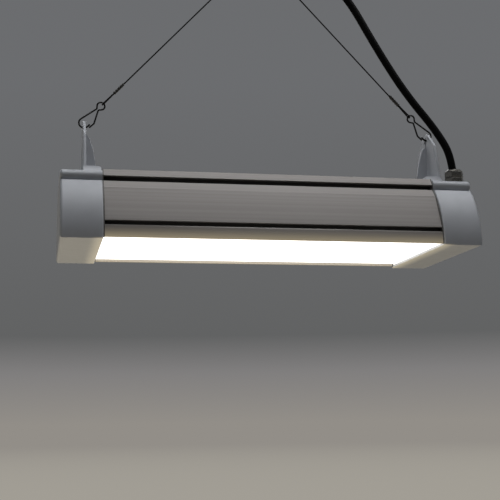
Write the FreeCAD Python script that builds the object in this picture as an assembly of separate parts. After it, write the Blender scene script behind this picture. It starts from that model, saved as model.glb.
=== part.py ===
"""LED tunnel light: an extruded lamp body between two cast end caps, hung on two wires from one ring.

Millimetres. +X runs along the lamp, +Y to the back and +Z up. Pieces are drawn in the lamp's own
frame, with z = 0 at the underside of the end caps, and are moved at the end so that the origin is
the ring's centre.
"""

import FreeCAD
import Part
import math
import os

V = FreeCAD.Vector

# Lamp body
lamp_length = 420.0
cap_length = 40.8
gasket_thickness = 1.2
fit_gap = 0.2

# End caps, in section across the lamp
cap_half_depth = 84.4
cap_shoulder_half_depth = 60.4
cap_height = 72.0
cap_flange_height = 11.3
cap_flange_half_depth = 58.9
cap_neck = 1.2
cap_wall = 2.6
cap_edge_round = 3.0
cap_rim_round = 1.2

# Ears of the end caps
ear_offset = 24.7
ear_thickness = 2.9
ear_rise = 63.4
ear_tip_radius = 11.0
ear_shoulder_rise = 46.6
ear_shoulder_half_width = 23.5
ear_shoulder_round = 8.0
ear_foot_half_width = 37.5
ear_foot_rise = 9.0
ear_flare = 15.0
ear_hole = 7.5
ear_hole_cover = 5.4
gusset_thickness = 3.0
gusset_reach = 12.0
gusset_tip = 4.5
gusset_bulge = 1.5
ear_edge_round = 0.8

# Extruded profile
profile_inset = 1.7
profile_wall = 2.2
profile_rise = 2.2
top_half_depth = 57.0
lip_lean = 5.5
facet_drop = 19.0
facet_half_depth = 56.4
lower_groove_base = 14.0
lower_groove_height = 4.2
lower_groove_depth = 6.0
upper_groove_drop = 10.2
upper_groove_height = 4.7
upper_groove_depth = 7.0
plate_thickness = 2.5
top_plate = 2.5
fin_width = 1.8
fin_gaps = 13
port_radius = 4.0
port_hole = 3.6
port_sink = 1.0
upper_port_half_depth = 28.0
lower_port_half_depth = 66.0
rim_height = 2.7
rim_width = 3.0
slot_height = 2.4
slot_depth = 1.7
slot_ledge = 1.6

# Diffuser and light engine
diffuser_thickness = 2.2
board_width = 26.0
board_thickness = 1.6
board_wall_gap = 14.4
board_end_gap = 4.0
led_length = 3.5
led_width = 2.8
led_height = 0.8
leds_per_board = 24
board_screw_offset = 4.0
board_screws_per_board = 3
small_screw = 3.0
small_screw_head = 5.6
small_screw_head_height = 1.8

# Driver and its wiring
driver_length = 180.0
driver_width = 58.0
driver_height = 28.0
driver_tab = 9.0
driver_tab_thickness = 1.5
driver_round = 2.0
terminal_length = 22.0
terminal_pitch = 10.0
terminal_height = 15.0
terminal_end_gap = 14.0
core_diameter = 2.4

# End cap screws
cap_screw = 4.0
cap_screw_head = 7.6
cap_screw_head_height = 2.6
cap_screw_grip = 9.0
cap_screw_recess = 3.4

# Cable gland on the right end cap
gland_offset = 12.0
gland_depth = -43.0
gland_thread = 16.0
gland_flats = 18.0
gland_washer_thickness = 0.8
gland_hex_height = 4.4
gland_nut_height = 6.8
gland_dome_height = 2.1
gland_dome_top = 14.0
gland_bore = 10.0
gland_upper_thread = 14.0
gland_upper_height = 5.6
gland_boss_depth = 9.0
seal_mouth = 9.2
seal_mouth_depth = 8.0

# Suspension
ring_height = 331.0
ring_radius = 13.0
ring_wire = 4.0
hook_wire = 1.8
hook_bend = 5.4
hook_eye_reach = 25.4
hook_eye_radius = 3.6
hook_neck = 1.0
hook_gate_corner = 6.6
wire_diameter = 1.2
wire_loop = 15.8
strand_spacing = 1.4
ferrule_length = 14.0
ferrule_wall = 0.85
loop_gap = 0.15
loop_corner_spread = 1.2
loop_corner_round = 0.95

# Supply cable
cable_diameter = 8.0
cable_stub = 2.0
cable_rise = 10.7
cord_ease = 0.45
core_length = 16.0
strand_length = 6.0
strand_diameter = 1.3
tie_width = 2.6
tie_thickness = 1.0
tie_head = 4.6
tie_angle = 27.9
tie_lead_in = 14.4
tie_lead_out = 4.8

# Points of the supply cable between the gland and the ring
cable_bends = (
    (184.5, -35.0, 129.5),
    (153.0, -29.0, 171.5),
    (126.0, -21.0, 221.0),
    (91.0, -13.0, 291.0),
    (52.0, -8.5, 318.0),
)

# Values that follow from the sizes above
half_length = lamp_length / 2
cap_inner = half_length - cap_length
profile_end = cap_inner - gasket_thickness
cap_shoulder_height = cap_height - cap_flange_height
shoulder_set_back = cap_half_depth - cap_shoulder_half_depth
side_radius = (shoulder_set_back**2 + cap_shoulder_height**2) / (2 * shoulder_set_back)
side_centre = cap_half_depth - side_radius
flange_radius = cap_flange_height / 2
profile_height = cap_height + profile_rise
facet_height = cap_height - facet_drop
upper_groove_base = cap_height - upper_groove_drop
plate_underside = lower_groove_base + lower_groove_height
plate_top = plate_underside + plate_thickness
upper_groove_top = upper_groove_base + upper_groove_height
shelf_underside = upper_groove_base - profile_wall
groove_back = top_half_depth - upper_groove_depth
fin_half_depth = top_half_depth - lip_lean
fin_root = upper_groove_top + top_plate
rim_top = profile_inset + rim_height
slot_top = rim_top + slot_height
ear_centre = half_length - ear_offset
ear_outer = ear_centre + ear_thickness / 2
ear_inner = ear_centre - ear_thickness / 2
ear_height = cap_height + ear_rise
ear_shoulder_height = cap_height + ear_shoulder_rise
ear_foot_height = cap_height + ear_foot_rise
ear_hole_height = ear_height - ear_hole_cover - ear_hole / 2
hook_height = ear_height - ear_hole_cover - fit_gap - hook_wire / 2 + hook_bend
gland_centre = half_length - gland_offset
gland_foot = cap_height - gland_boss_depth
terminal_start = profile_end - terminal_end_gap - terminal_length
upper_port = (upper_port_half_depth, upper_groove_top - port_radius + port_sink)
lower_port = (lower_port_half_depth, plate_top + port_radius - port_sink)


def side(height, inset):
    """Half depth of the arched side at a height, a given inset inside the end cap's face."""
    return side_centre + math.sqrt((side_radius - inset) ** 2 - height**2)


def line(start, end):
    return Part.LineSegment(start, end).toShape()


def arc(start, middle, end):
    return Part.Arc(start, middle, end).toShape()


def section(start, *steps):
    """Face in the YZ plane: a step is the end of a line, or a point on an arc and the arc's end."""
    first = V(0, *start)
    here = first
    edges = []
    for step in steps:
        if isinstance(step[0], tuple):
            there = V(0, *step[1])
            edges.append(arc(here, V(0, *step[0]), there))
        else:
            there = V(0, *step)
            edges.append(line(here, there))
        here = there
    edges.append(line(here, first))
    return Part.Face(Part.Wire(edges))


def side_arc(low, high, inset):
    """Step of a section along the arched side, from one height up to another."""
    middle = (low + high) / 2
    return (side(middle, inset), middle), (side(high, inset), high)


def both_sides(half):
    """A half section joined to its mirror image about the lamp's middle plane."""
    other = half.mirror(V(0, 0, 0), V(0, 1, 0))
    return half.fuse(other.reversed()).removeSplitter().Faces[0]


def prism(face, start, end):
    """A section drawn out along the lamp from one x to another."""
    placed = face.copy()
    placed.translate(V(start, 0, 0))
    return placed.extrude(V(end - start, 0, 0))


def box(low, high):
    size = V(*high) - V(*low)
    return Part.makeBox(size.x, size.y, size.z, V(*low))


def rod(centre, axis, diameter, length):
    return Part.makeCylinder(diameter / 2, length, V(*centre), V(*axis))


def hexagon(x, y, low, high, flats):
    """Hexagonal prism about a vertical axis."""
    corner = flats / math.sqrt(3)
    points = [V(x, y, low) + V(corner, 0, 0)]
    for step in range(1, 7):
        turn = math.radians(60 * step)
        points.append(V(x + corner * math.cos(turn), y + corner * math.sin(turn), low))
    return Part.Face(Part.makePolygon(points)).extrude(V(0, 0, high - low))


def mirrored(shape):
    """The same piece at the lamp's left end."""
    return shape.mirror(V(0, 0, 0), V(1, 0, 0))


def unit(vector):
    return V(vector).normalize()


def rounded_path(points, radii):
    """Wire of straight runs through the points, with a tangent arc of the given radius at each corner."""
    here = points[0]
    edges = []
    for before, corner, after, radius in zip(points, points[1:], points[2:], radii):
        into = unit(corner - before)
        out = unit(after - corner)
        half_turn = into.getAngle(out) / 2
        reach = radius * math.tan(half_turn)
        inward = unit(out - into)
        start = corner - into * reach
        middle = corner + inward * (radius / math.cos(half_turn) - radius)
        end = corner + out * reach
        edges.append(line(here, start))
        edges.append(arc(start, middle, end))
        here = end
    edges.append(line(here, points[-1]))
    return Part.Wire(edges)


def cord_radii(points):
    """Bend radii of a flexible cord: as large as its runs allow."""
    radii = []
    for before, corner, after in zip(points, points[1:], points[2:]):
        into = corner - before
        out = after - corner
        run = min(into.Length, out.Length)
        radii.append(cord_ease * run / math.tan(into.getAngle(out) / 2))
    return radii


def tube(path, diameter):
    """Round bar along a wire."""
    first = path.OrderedEdges[0]
    start = first.firstVertex().Point
    heading = first.tangentAt(first.FirstParameter)
    ring = Part.Wire(Part.Circle(start, heading, diameter / 2).toShape())
    return path.makePipeShell([ring], True, False)


def cap_body_section():
    """Outside of an end cap up to its ledge: a flat underside and arched sides."""
    half = section(
        (0, 0),
        (cap_half_depth, 0),
        side_arc(0, cap_shoulder_height, 0),
        (0, cap_shoulder_height),
    )
    return both_sides(half)


def flange_section():
    """Half round flange along the top of an end cap, with its neck set into the ledge."""
    flange_centre = cap_shoulder_height + flange_radius
    flange_flat = cap_flange_half_depth - flange_radius
    neck = flange_flat + math.sqrt(flange_radius**2 - (flange_radius - cap_neck) ** 2)
    root = cap_shoulder_height - cap_wall
    half = section(
        (0, root),
        (neck, root),
        (neck, cap_shoulder_height + cap_neck),
        ((cap_flange_half_depth, flange_centre), (flange_flat, cap_height)),
        (0, cap_height),
    )
    return both_sides(half)


def rounded_end(face, radius, low, high):
    """A section drawn out to the cap's length, with its end edges between two heights rounded."""
    bar = prism(face, cap_inner, half_length)
    edges = [
        edge
        for edge in end_edges(bar, half_length)
        if edge.BoundBox.ZMax > low and edge.BoundBox.ZMin < high
    ]
    return bar.makeFillet(radius, edges)


def cap_cavity():
    """Hollow of an end cap, open towards the profile."""
    ceiling = cap_shoulder_height - cap_wall
    neck = cap_flange_half_depth - flange_radius - cap_wall
    half = section(
        (0, cap_wall),
        (side(cap_wall, cap_wall), cap_wall),
        side_arc(cap_wall, ceiling, cap_wall),
        (neck, ceiling),
        (neck, cap_height - cap_wall),
        (0, cap_height - cap_wall),
    )
    return prism(both_sides(half), cap_inner, half_length - cap_wall)


def end_edges(shape, x):
    """Edges of a solid that lie wholly in the plane at x."""
    edges = []
    for edge in shape.Edges:
        reach = edge.BoundBox
        if max(abs(reach.XMin - x), abs(reach.XMax - x)) < 1e-6:
            edges.append(edge)
    return edges


def ear_face():
    """Gable outline of an ear: flared foot, sloping sides, rounded shoulders and tip."""
    tip_centre = V(0, 0, ear_height - ear_tip_radius)
    shoulder = V(0, ear_shoulder_half_width, ear_shoulder_height)
    to_tip = tip_centre - shoulder
    slope = math.atan2(to_tip.z, -to_tip.y) + math.asin(ear_tip_radius / to_tip.Length)
    apex = V(0, 0, ear_shoulder_height + ear_shoulder_half_width * math.tan(slope))
    root = cap_height - cap_wall / 2
    rise = ear_shoulder_rise / (ear_foot_half_width - ear_shoulder_half_width)
    foot = V(0, ear_foot_half_width + (cap_height - root) / rise, root)
    toe = V(0, foot.y + 2 * ear_flare, root)
    half = [toe, foot, shoulder]
    far = [V(0, -point.y, point.z) for point in reversed(half)]
    radii = [ear_flare, ear_shoulder_round, ear_tip_radius, ear_shoulder_round, ear_flare]
    path = rounded_path(half + [apex] + far, radii)
    sides = path.OrderedEdges[1:-1]
    base = line(sides[-1].lastVertex(True).Point, sides[0].firstVertex(True).Point)
    return Part.Face(Part.Wire(sides + [base]))


def gusset():
    """Rib that stiffens an ear: a bowed inner edge and a sloping top, just below the ear's hole."""
    top = ear_hole_height - ear_hole / 2 - fit_gap
    low = V(ear_inner - gusset_reach, -gusset_thickness / 2, ear_foot_height - cap_edge_round)
    high = V(ear_inner - gusset_tip, low.y, top - gusset_tip)
    crown = V(ear_inner, low.y, top)
    corner = V(ear_inner, low.y, low.z)
    chord = high - low
    outward = V(-chord.z, 0, chord.x).normalize()
    middle = (low + high) / 2 + outward * gusset_bulge
    outline = [arc(low, middle, high), line(high, crown), line(crown, corner), line(corner, low)]
    rib = Part.Face(Part.Wire(outline)).extrude(V(0, gusset_thickness, 0))
    ridge = [edge for edge in rib.Edges if edge.Curve.TypeId == "Part::GeomCircle"]
    return rib.makeFillet(ear_edge_round, ridge)


def ear():
    """Ear plate with its foot and gusset, as cast on the top of an end cap."""
    outline = ear_face()
    hole = disc((0, ear_hole_height), ear_hole)
    plate = prism(outline.cut(hole).Faces[0], ear_inner, ear_outer)
    rims = end_edges(plate, ear_inner) + end_edges(plate, ear_outer)
    rims = [edge for edge in rims if edge.BoundBox.ZMax > cap_height]
    plate = plate.makeFillet(ear_edge_round, rims)
    reach = outline.BoundBox.YMax
    below = box((cap_inner, -reach, 0), (ear_outer, reach, ear_foot_height))
    foot = prism(outline, cap_inner, ear_outer).common(below)
    rim = [edge for edge in end_edges(foot, cap_inner) if edge.BoundBox.ZMin > cap_height]
    rim = [edge for edge in rim if edge.BoundBox.ZMax - edge.BoundBox.ZMin < fit_gap]
    foot = foot.makeFillet(cap_edge_round, rim)
    return plate.fuse([foot, gusset()])


def screw_places():
    """The four (y, z) places of the end cap screws, the same on cap, gasket and profile."""
    places = []
    for depth, height in (upper_port, lower_port):
        places.append((-depth, height))
        places.append((depth, height))
    return places


def end_cap():
    """Right-hand end cap without its gland hole: hollow casting with screw posts and an ear."""
    body = rounded_end(cap_body_section(), cap_edge_round, -fit_gap, cap_shoulder_height - fit_gap)
    rim = [edge for edge in end_edges(body, cap_inner) if edge.BoundBox.ZMin < cap_rim_round]
    body = body.makeFillet(cap_rim_round, rim)
    flange = rounded_end(flange_section(), cap_edge_round, cap_shoulder_height, cap_height + fit_gap)
    body = body.fuse(flange).removeSplitter()
    cap = body.cut(cap_cavity())
    posts = []
    holes = []
    for depth, height in screw_places():
        start = (cap_inner, depth, height)
        posts.append(rod(start, (1, 0, 0), cap_screw_head + 2 * cap_wall, cap_length - cap_wall))
        holes.append(rod(start, (1, 0, 0), cap_screw + 2 * fit_gap, cap_length))
        seat = (half_length - cap_screw_recess, depth, height)
        holes.append(rod(seat, (1, 0, 0), cap_screw_head + 4 * fit_gap, cap_screw_recess))
    posts = [post.common(body) for post in posts]
    return cap.fuse(posts + [ear()]).cut(holes).removeSplitter()


def end_gasket():
    """Flat rubber gasket between the profile's right end and its cap, open where the light comes out."""
    sheet = prism(profile_envelope(), profile_end, cap_inner)
    window_half = groove_back - 2 * profile_wall
    low = (profile_end, -window_half, plate_top + profile_wall)
    window = box(low, (cap_inner, window_half, upper_port[1] - port_radius - profile_wall))
    holes = [
        rod((profile_end, depth, height), (1, 0, 0), cap_screw + 2 * fit_gap, gasket_thickness)
        for depth, height in screw_places()
    ]
    opening = prism(light_opening(), profile_end, cap_inner)
    return sheet.cut([window, opening] + holes)


def cap_screws():
    """Pan head screws through the right end cap into the profile's ports, each with a cross recess."""
    screws = []
    seat = half_length - cap_screw_recess
    tip = profile_end - cap_screw_grip
    slot = cap_screw_head / 5
    for depth, height in screw_places():
        shank = rod((tip, depth, height), (1, 0, 0), port_hole - 2 * fit_gap, seat - tip)
        head = rod((seat, depth, height), (1, 0, 0), cap_screw_head, cap_screw_head_height)
        crown = end_edges(head, seat + cap_screw_head_height)
        head = head.makeFillet(cap_screw_head_height / 2, crown)
        deep = seat + cap_screw_head_height / 2
        top = seat + cap_screw_head_height
        reach = cap_screw_head / 4
        upright = box((deep, depth - slot / 2, height - reach), (top, depth + slot / 2, height + reach))
        level = box((deep, depth - reach, height - slot / 2), (top, depth + reach, height + slot / 2))
        screws.append(shank.fuse(head).cut([upright, level]))
    return screws


def profile_envelope():
    """Outside of the profile with its grooves still filled."""
    half = section(
        (0, profile_inset),
        (side(profile_inset, profile_inset), profile_inset),
        side_arc(profile_inset, facet_height, profile_inset),
        (facet_half_depth, upper_groove_base),
        (top_half_depth, upper_groove_top),
        (fin_half_depth, profile_height),
        (0, profile_height),
    )
    return both_sides(half)


def driver_chamber():
    """Closed chamber of the profile above the light engine's plate."""
    inset = profile_inset + profile_wall
    half = section(
        (0, plate_top),
        (side(plate_top, inset), plate_top),
        side_arc(plate_top, shelf_underside, inset),
        (groove_back - profile_wall, shelf_underside),
        (groove_back - profile_wall, upper_groove_top),
        (0, upper_groove_top),
    )
    return both_sides(half)


def rim_edge():
    """Half depth of the opening between the profile's two rims."""
    return side(profile_inset, profile_inset) - rim_width


def light_opening():
    """Opening between the rims, with the slots that carry the diffuser."""
    rim = rim_edge()
    half = section(
        (0, 0),
        (rim, 0),
        (rim, rim_top),
        (rim + slot_depth, rim_top),
        (rim + slot_depth, slot_top),
        (0, slot_top),
    )
    return both_sides(half)


def light_chamber():
    """Chamber of the profile between the slots and the plate."""
    rim = rim_edge()
    strip = side(lower_groove_base, profile_inset) - profile_wall
    groove = side(lower_groove_base, profile_inset) - lower_groove_depth - profile_wall
    half = section(
        (0, slot_top),
        (rim - slot_depth, slot_top),
        (rim - slot_depth, slot_top + slot_ledge),
        (strip, slot_top + slot_ledge),
        (strip, lower_groove_base - profile_wall),
        (groove, lower_groove_base - profile_wall),
        (groove, plate_underside),
        (0, plate_underside),
    )
    return both_sides(half)


def rectangle(low, high):
    """Rectangle in the YZ plane between two (y, z) corners."""
    return section(low, (high[0], low[1]), high, (low[0], high[1]))


def profile_cuts():
    """Side grooves and the gaps between the cooling fins, as faces to cut from the envelope."""
    lower_back = side(lower_groove_base, profile_inset) - lower_groove_depth
    lower = rectangle((lower_back, lower_groove_base), (cap_half_depth, plate_underside))
    upper = rectangle((groove_back, upper_groove_base), (cap_half_depth, upper_groove_top))
    cuts = [lower, upper]
    cuts += [cut.mirror(V(0, 0, 0), V(0, 1, 0)) for cut in (lower, upper)]
    pitch = (2 * fin_half_depth - fin_width) / fin_gaps
    for gap in range(fin_gaps):
        start = -fin_half_depth + fin_width + gap * pitch
        low = (start, fin_root)
        cuts.append(rectangle(low, (start + pitch - fin_width, profile_height)))
    return cuts


def disc(place, diameter):
    """Round face in the YZ plane."""
    circle = Part.Circle(V(0, *place), V(1, 0, 0), diameter / 2)
    return Part.Face(Part.Wire(circle.toShape()))


def board_rows():
    """The y places of the three boards: one in the middle and one near each wall of the light chamber."""
    wall = side(lower_groove_base, profile_inset) - lower_groove_depth - profile_wall
    outer = wall - board_wall_gap - board_width / 2
    return [-outer, 0.0, outer]


def board_screw_places():
    """The (x, y) places of the screws that hold the boards to the plate."""
    reach = profile_end - board_end_gap - board_screw_offset
    step = 2 * reach / (board_screws_per_board - 1)
    return [(-reach + step * k, row) for row in board_rows() for k in range(board_screws_per_board)]


def driver_screw_places():
    reach = (driver_length + driver_tab) / 2
    return [(-reach, 0.0), (reach, 0.0)]


def housing_profile():
    """Aluminium extrusion: arched sides, grooves, fins, two chambers and four screw ports."""
    hollows = [driver_chamber(), light_chamber(), light_opening()]
    face = profile_envelope().cut(hollows + profile_cuts())
    face = face.fuse([disc(place, 2 * port_radius) for place in screw_places()])
    face = face.cut([disc(place, port_hole) for place in screw_places()]).removeSplitter().Faces[0]
    bar = prism(face, -profile_end, profile_end)
    drill = small_screw - 2 * fit_gap
    holes = [
        rod((x, y, plate_underside), (0, 0, 1), drill, plate_thickness)
        for x, y in board_screw_places() + driver_screw_places()
    ]
    return bar.cut(holes)


def diffuser():
    """Flat opal sheet that lies in the profile's slots and reaches from cap to cap."""
    half = rim_edge() + slot_depth - fit_gap
    end = cap_inner - fit_gap
    return box((-end, -half, rim_top), (end, half, rim_top + diffuser_thickness))


def small_screw_solid(x, y, seat, up, length):
    """Small pan head screw: its head lies on the seat and its shank goes into the plate."""
    heading = (0, 0, 1 if up else -1)
    back = (0, 0, -1 if up else 1)
    shank = rod((x, y, seat), heading, small_screw - 2 * fit_gap, length)
    head = rod((x, y, seat), back, small_screw_head, small_screw_head_height)
    return shank.fuse(head)


def led_board(row):
    """One printed board under the plate, drilled for its screws."""
    reach = profile_end - board_end_gap
    low = (-reach, row - board_width / 2, plate_underside - board_thickness)
    board = box(low, (reach, row + board_width / 2, plate_underside))
    holes = [
        rod((x, y, low[2]), (0, 0, 1), small_screw + fit_gap, board_thickness)
        for x, y in board_screw_places()
        if y == row
    ]
    return board.cut(holes)


def led_chips():
    """LED packages in one row on each board, clear of the screws."""
    chips = []
    reach = profile_end - board_end_gap - 2 * board_screw_offset
    pitch = 2 * reach / leds_per_board
    top = plate_underside - board_thickness
    for row in board_rows():
        for k in range(leds_per_board):
            x = -reach + pitch * (k + 0.5)
            low = (x - led_length / 2, row - led_width / 2, top - led_height)
            chips.append(box(low, (x + led_length / 2, row + led_width / 2, top)))
    return chips


def board_screws():
    seat = plate_underside - board_thickness
    return [
        small_screw_solid(x, y, seat, True, board_thickness + plate_thickness)
        for x, y in board_screw_places()
    ]


def led_driver():
    """Closed driver case on the plate, with a drilled tab at each end."""
    half = driver_length / 2
    high = (half, driver_width / 2, plate_top + driver_height)
    case = box((-half, -driver_width / 2, plate_top), high)
    upper = [edge for edge in case.Edges if edge.BoundBox.ZMax > plate_top + fit_gap]
    case = case.makeFillet(driver_round, upper)
    reach = half + driver_tab
    tab = box((-reach, -driver_tab, plate_top), (reach, driver_tab, plate_top + driver_tab_thickness))
    holes = [
        rod((x, y, plate_top), (0, 0, 1), small_screw + fit_gap, driver_tab_thickness)
        for x, y in driver_screw_places()
    ]
    return case.fuse(tab).cut(holes).removeSplitter()


def driver_screws():
    seat = plate_top + driver_tab_thickness
    length = driver_tab_thickness + plate_thickness
    return [small_screw_solid(x, y, seat, False, length) for x, y in driver_screw_places()]


def terminal_ways():
    return [-terminal_pitch, 0.0, terminal_pitch]


def terminal_middle():
    """Height of the wire entries of the terminal block."""
    return plate_top + terminal_height / 3


def terminal_block():
    """Three-way terminal block beside the driver, with an entry at each side and a screw well per way."""
    half_width = 1.5 * terminal_pitch
    start = terminal_start
    end = terminal_start + terminal_length
    block = box((start, -half_width, plate_top), (end, half_width, plate_top + terminal_height))
    cuts = []
    for way in terminal_ways():
        entry = (start, way, terminal_middle())
        cuts.append(rod(entry, (1, 0, 0), core_diameter + fit_gap, terminal_length))
        well = ((start + end) / 2, way, plate_top + 2 * terminal_height / 3)
        cuts.append(rod(well, (0, 0, 1), terminal_pitch / 2, terminal_height / 3))
    return block.cut(cuts)


def cable_foot():
    """Height of the supply cable's end inside the right end cap."""
    return gland_foot - cable_stub


def supply_cores():
    """Cores from the supply cable's end, inside the cap, to the terminal block."""
    spread = cable_diameter / 4
    start_height = cable_foot()
    inlet = terminal_start + terminal_length / 2
    cores = []
    for way, lean in zip(terminal_ways(), (-1, 0, 1)):
        x = gland_centre + spread * (1 if lean == 0 else -1)
        y = gland_depth + spread * lean
        level = terminal_middle()
        elbow = V(x, y, level + terminal_height * (1 + lean / 3))
        turn = V(profile_end - gasket_thickness, way, elbow.z)
        points = [
            V(x, y, start_height),
            elbow,
            turn,
            V(terminal_start + terminal_length + terminal_pitch, way, level),
            V(inlet, way, level),
        ]
        cores.append(tube(rounded_path(points, [2 * core_diameter] * 3), core_diameter))
    return cores


def driver_leads():
    """Leads between the terminal block and the driver's end face."""
    start = driver_length / 2
    inlet = terminal_start + terminal_length / 2 - terminal_pitch
    bow = plate_top + driver_height / 2
    leads = []
    for way in terminal_ways()[::2]:
        points = [
            V(start, way, bow),
            V(start + 2 * driver_tab, way, bow),
            V(terminal_start - terminal_pitch, way, terminal_middle()),
            V(inlet, way, terminal_middle()),
        ]
        leads.append(tube(rounded_path(points, [2 * core_diameter] * 2), core_diameter))
    return leads


def gland_rod(low, high, diameter):
    return rod((gland_centre, gland_depth, low), (0, 0, 1), diameter, high - low)


def gland_hex_base():
    return cap_height + gland_washer_thickness


def gland_nut_base():
    return gland_hex_base() + gland_hex_height + fit_gap


def gland_top():
    return gland_nut_base() + gland_nut_height + gland_dome_height


def gland_cap(cap):
    """The right end cap: a plain cap with a boss under its top and a hole in it for the gland."""
    boss = gland_rod(gland_foot, cap_height - cap_wall, gland_thread + 2 * cap_wall)
    hole = gland_rod(gland_foot, cap_height, gland_thread + fit_gap)
    return cap.fuse(boss).cut(hole).removeSplitter()


def gland_body():
    """Hexagon with a thread below it, in the cap's boss, and a thread above it for the nut."""
    base = gland_hex_base()
    hexagon_top = base + gland_hex_height
    flats = hexagon(gland_centre, gland_depth, base, hexagon_top, gland_flats)
    lower = gland_rod(gland_foot, base, gland_thread)
    upper = gland_rod(hexagon_top, hexagon_top + gland_upper_height, gland_upper_thread)
    bore = gland_rod(gland_foot, hexagon_top + gland_upper_height, gland_bore)
    return lower.fuse([flats, upper]).cut(bore).removeSplitter()


def gland_washer():
    outer = gland_rod(cap_height, gland_hex_base(), gland_flats)
    return outer.cut(gland_rod(cap_height, gland_hex_base(), gland_thread + fit_gap))


def gland_nut():
    """Cap nut: hexagon with a turned top, hollow over the body's thread and open for the cable."""
    base = gland_nut_base()
    shoulder = base + gland_nut_height
    flats = hexagon(gland_centre, gland_depth, base, shoulder, gland_flats)
    corner = gland_flats / math.sqrt(3)
    chamfer = Part.makeCone(
        corner + gland_nut_height / 2,
        gland_flats / 2,
        gland_nut_height,
        V(gland_centre, gland_depth, base),
    )
    dome = Part.makeCone(
        gland_flats / 2,
        gland_dome_top / 2,
        gland_dome_height,
        V(gland_centre, gland_depth, shoulder),
    )
    hollow_top = gland_hex_base() + gland_hex_height + gland_upper_height
    hollow = gland_rod(base, hollow_top, gland_upper_thread + fit_gap)
    throat = gland_rod(base, gland_top(), gland_bore)
    return flats.common(chamfer).fuse(dome).cut([hollow, throat]).removeSplitter()


def gland_seal():
    """Rubber sleeve between the cable and the gland's bore, with a widened mouth where the cable bends."""
    low = gland_hex_base()
    outer = gland_rod(low, gland_top(), gland_bore - fit_gap)
    bore = gland_rod(low, gland_top(), cable_diameter + fit_gap)
    mouth = Part.makeCone(
        (cable_diameter + fit_gap) / 2,
        seal_mouth / 2,
        seal_mouth_depth,
        V(gland_centre, gland_depth, gland_top() - seal_mouth_depth),
    )
    return outer.cut([bore, mouth])


def hook_direction():
    """Unit vector from the right hook's bend towards the ring's centre."""
    return unit(V(0, 0, ring_height) - V(ear_centre, 0, hook_height))


def from_hook(along, across, depth=0.0):
    """Point in the right hook's frame: along the pull, across it towards the lamp's middle, and in y."""
    pull = hook_direction()
    inward = V(-pull.z, 0, pull.x)
    return V(ear_centre, depth, hook_height) + pull * along + inward * across


def snap_hook():
    """Right-hand hook, one bent wire: nose, bend through the ear, long arm, eye and gate."""
    gate = hook_bend + hook_wire + fit_gap
    corner_reach = hook_eye_radius * math.sqrt(2) + fit_gap
    neck = hook_eye_reach - corner_reach
    points = [
        from_hook(hook_bend / 2, hook_bend),
        from_hook(-hook_bend, hook_bend),
        from_hook(-hook_bend, -hook_bend - hook_wire / 2),
        from_hook(neck, -hook_neck),
        from_hook(hook_eye_reach, -corner_reach),
        from_hook(hook_eye_reach + corner_reach, 0),
        from_hook(hook_eye_reach, corner_reach),
        from_hook(neck, hook_neck),
        from_hook(hook_gate_corner, gate + hook_wire / 4),
        from_hook(0, gate),
    ]
    bend = hook_bend - fit_gap / 2
    radii = [bend, bend, hook_wire] + [hook_eye_radius] * 3 + [hook_wire] * 2
    return tube(rounded_path(points, radii), hook_wire)


def pull_length():
    return (V(0, 0, ring_height) - V(ear_centre, 0, hook_height)).Length


def eye_bearing():
    """Distance along the pull to the hook eye's wire, where the suspension wire bears."""
    return hook_eye_reach + hook_eye_radius


def ring_bearing():
    """Distance along the pull to the ring's wire."""
    return pull_length() - ring_radius


def loop_corners(bearing, wire, way):
    """Two corners of a wire loop round a bar, and the loop's radius. The way is 1 upwards, -1 downwards."""
    radius = wire / 2 + wire_diameter / 2 + loop_gap
    far = bearing + way * radius
    spread = loop_corner_spread * radius
    return [from_hook(far, 0, -spread), from_hook(far, 0, spread)], loop_corner_round * radius


def suspension_wire():
    """Right-hand wire: looped round the ring and the hook's eye, with its ends back in the two ferrules."""
    strand = strand_spacing / 2
    top = ring_bearing() - wire_loop
    low = eye_bearing() + wire_loop
    upper, upper_radius = loop_corners(ring_bearing(), ring_wire, 1)
    lower, lower_radius = loop_corners(eye_bearing(), hook_wire, -1)
    ease = 4 * wire_diameter
    points = [
        from_hook(top - ferrule_length - wire_diameter, 0, -strand),
        from_hook(top, 0, -strand),
        *upper,
        from_hook(top, 0, strand),
        from_hook(low, 0, strand),
        *reversed(lower),
        from_hook(low, 0, -strand),
        from_hook(low + ferrule_length + wire_diameter, 0, -strand),
    ]
    radii = [ease, upper_radius, upper_radius, ease, ease, lower_radius, lower_radius, ease]
    return tube(rounded_path(points, radii), wire_diameter)


def ferrule(start):
    """Oval sleeve pressed round both strands of the right-hand wire, from a distance along the pull."""
    pull = hook_direction()
    across = V(-pull.z, 0, pull.x)
    strand = strand_spacing / 2
    outer = wire_diameter / 2 + ferrule_wall
    base = from_hook(start, 0)
    front = base - V(0, strand, 0)
    back = base + V(0, strand, 0)
    edges = [
        line(front + across * outer, back + across * outer),
        arc(back + across * outer, back + V(0, outer, 0), back - across * outer),
        line(back - across * outer, front - across * outer),
        arc(front - across * outer, front - V(0, outer, 0), front + across * outer),
    ]
    sleeve = Part.Face(Part.Wire(edges)).extrude(pull * ferrule_length)
    bore = wire_diameter / 2 + loop_gap / 4
    holes = [Part.makeCylinder(bore, ferrule_length, place, pull) for place in (front, back)]
    return sleeve.cut(holes)


def hanging_ring():
    return Part.makeTorus(ring_radius, ring_wire / 2, V(0, 0, ring_height), V(0, 1, 0))


def tie_place():
    """Point on the ring's centre line where the cable is tied, and the cable's direction there."""
    turn = math.radians(tie_angle)
    place = V(0, 0, ring_height) + V(math.sin(turn), 0, math.cos(turn)) * ring_radius
    return place, V(-math.cos(turn), 0, math.sin(turn))


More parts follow.
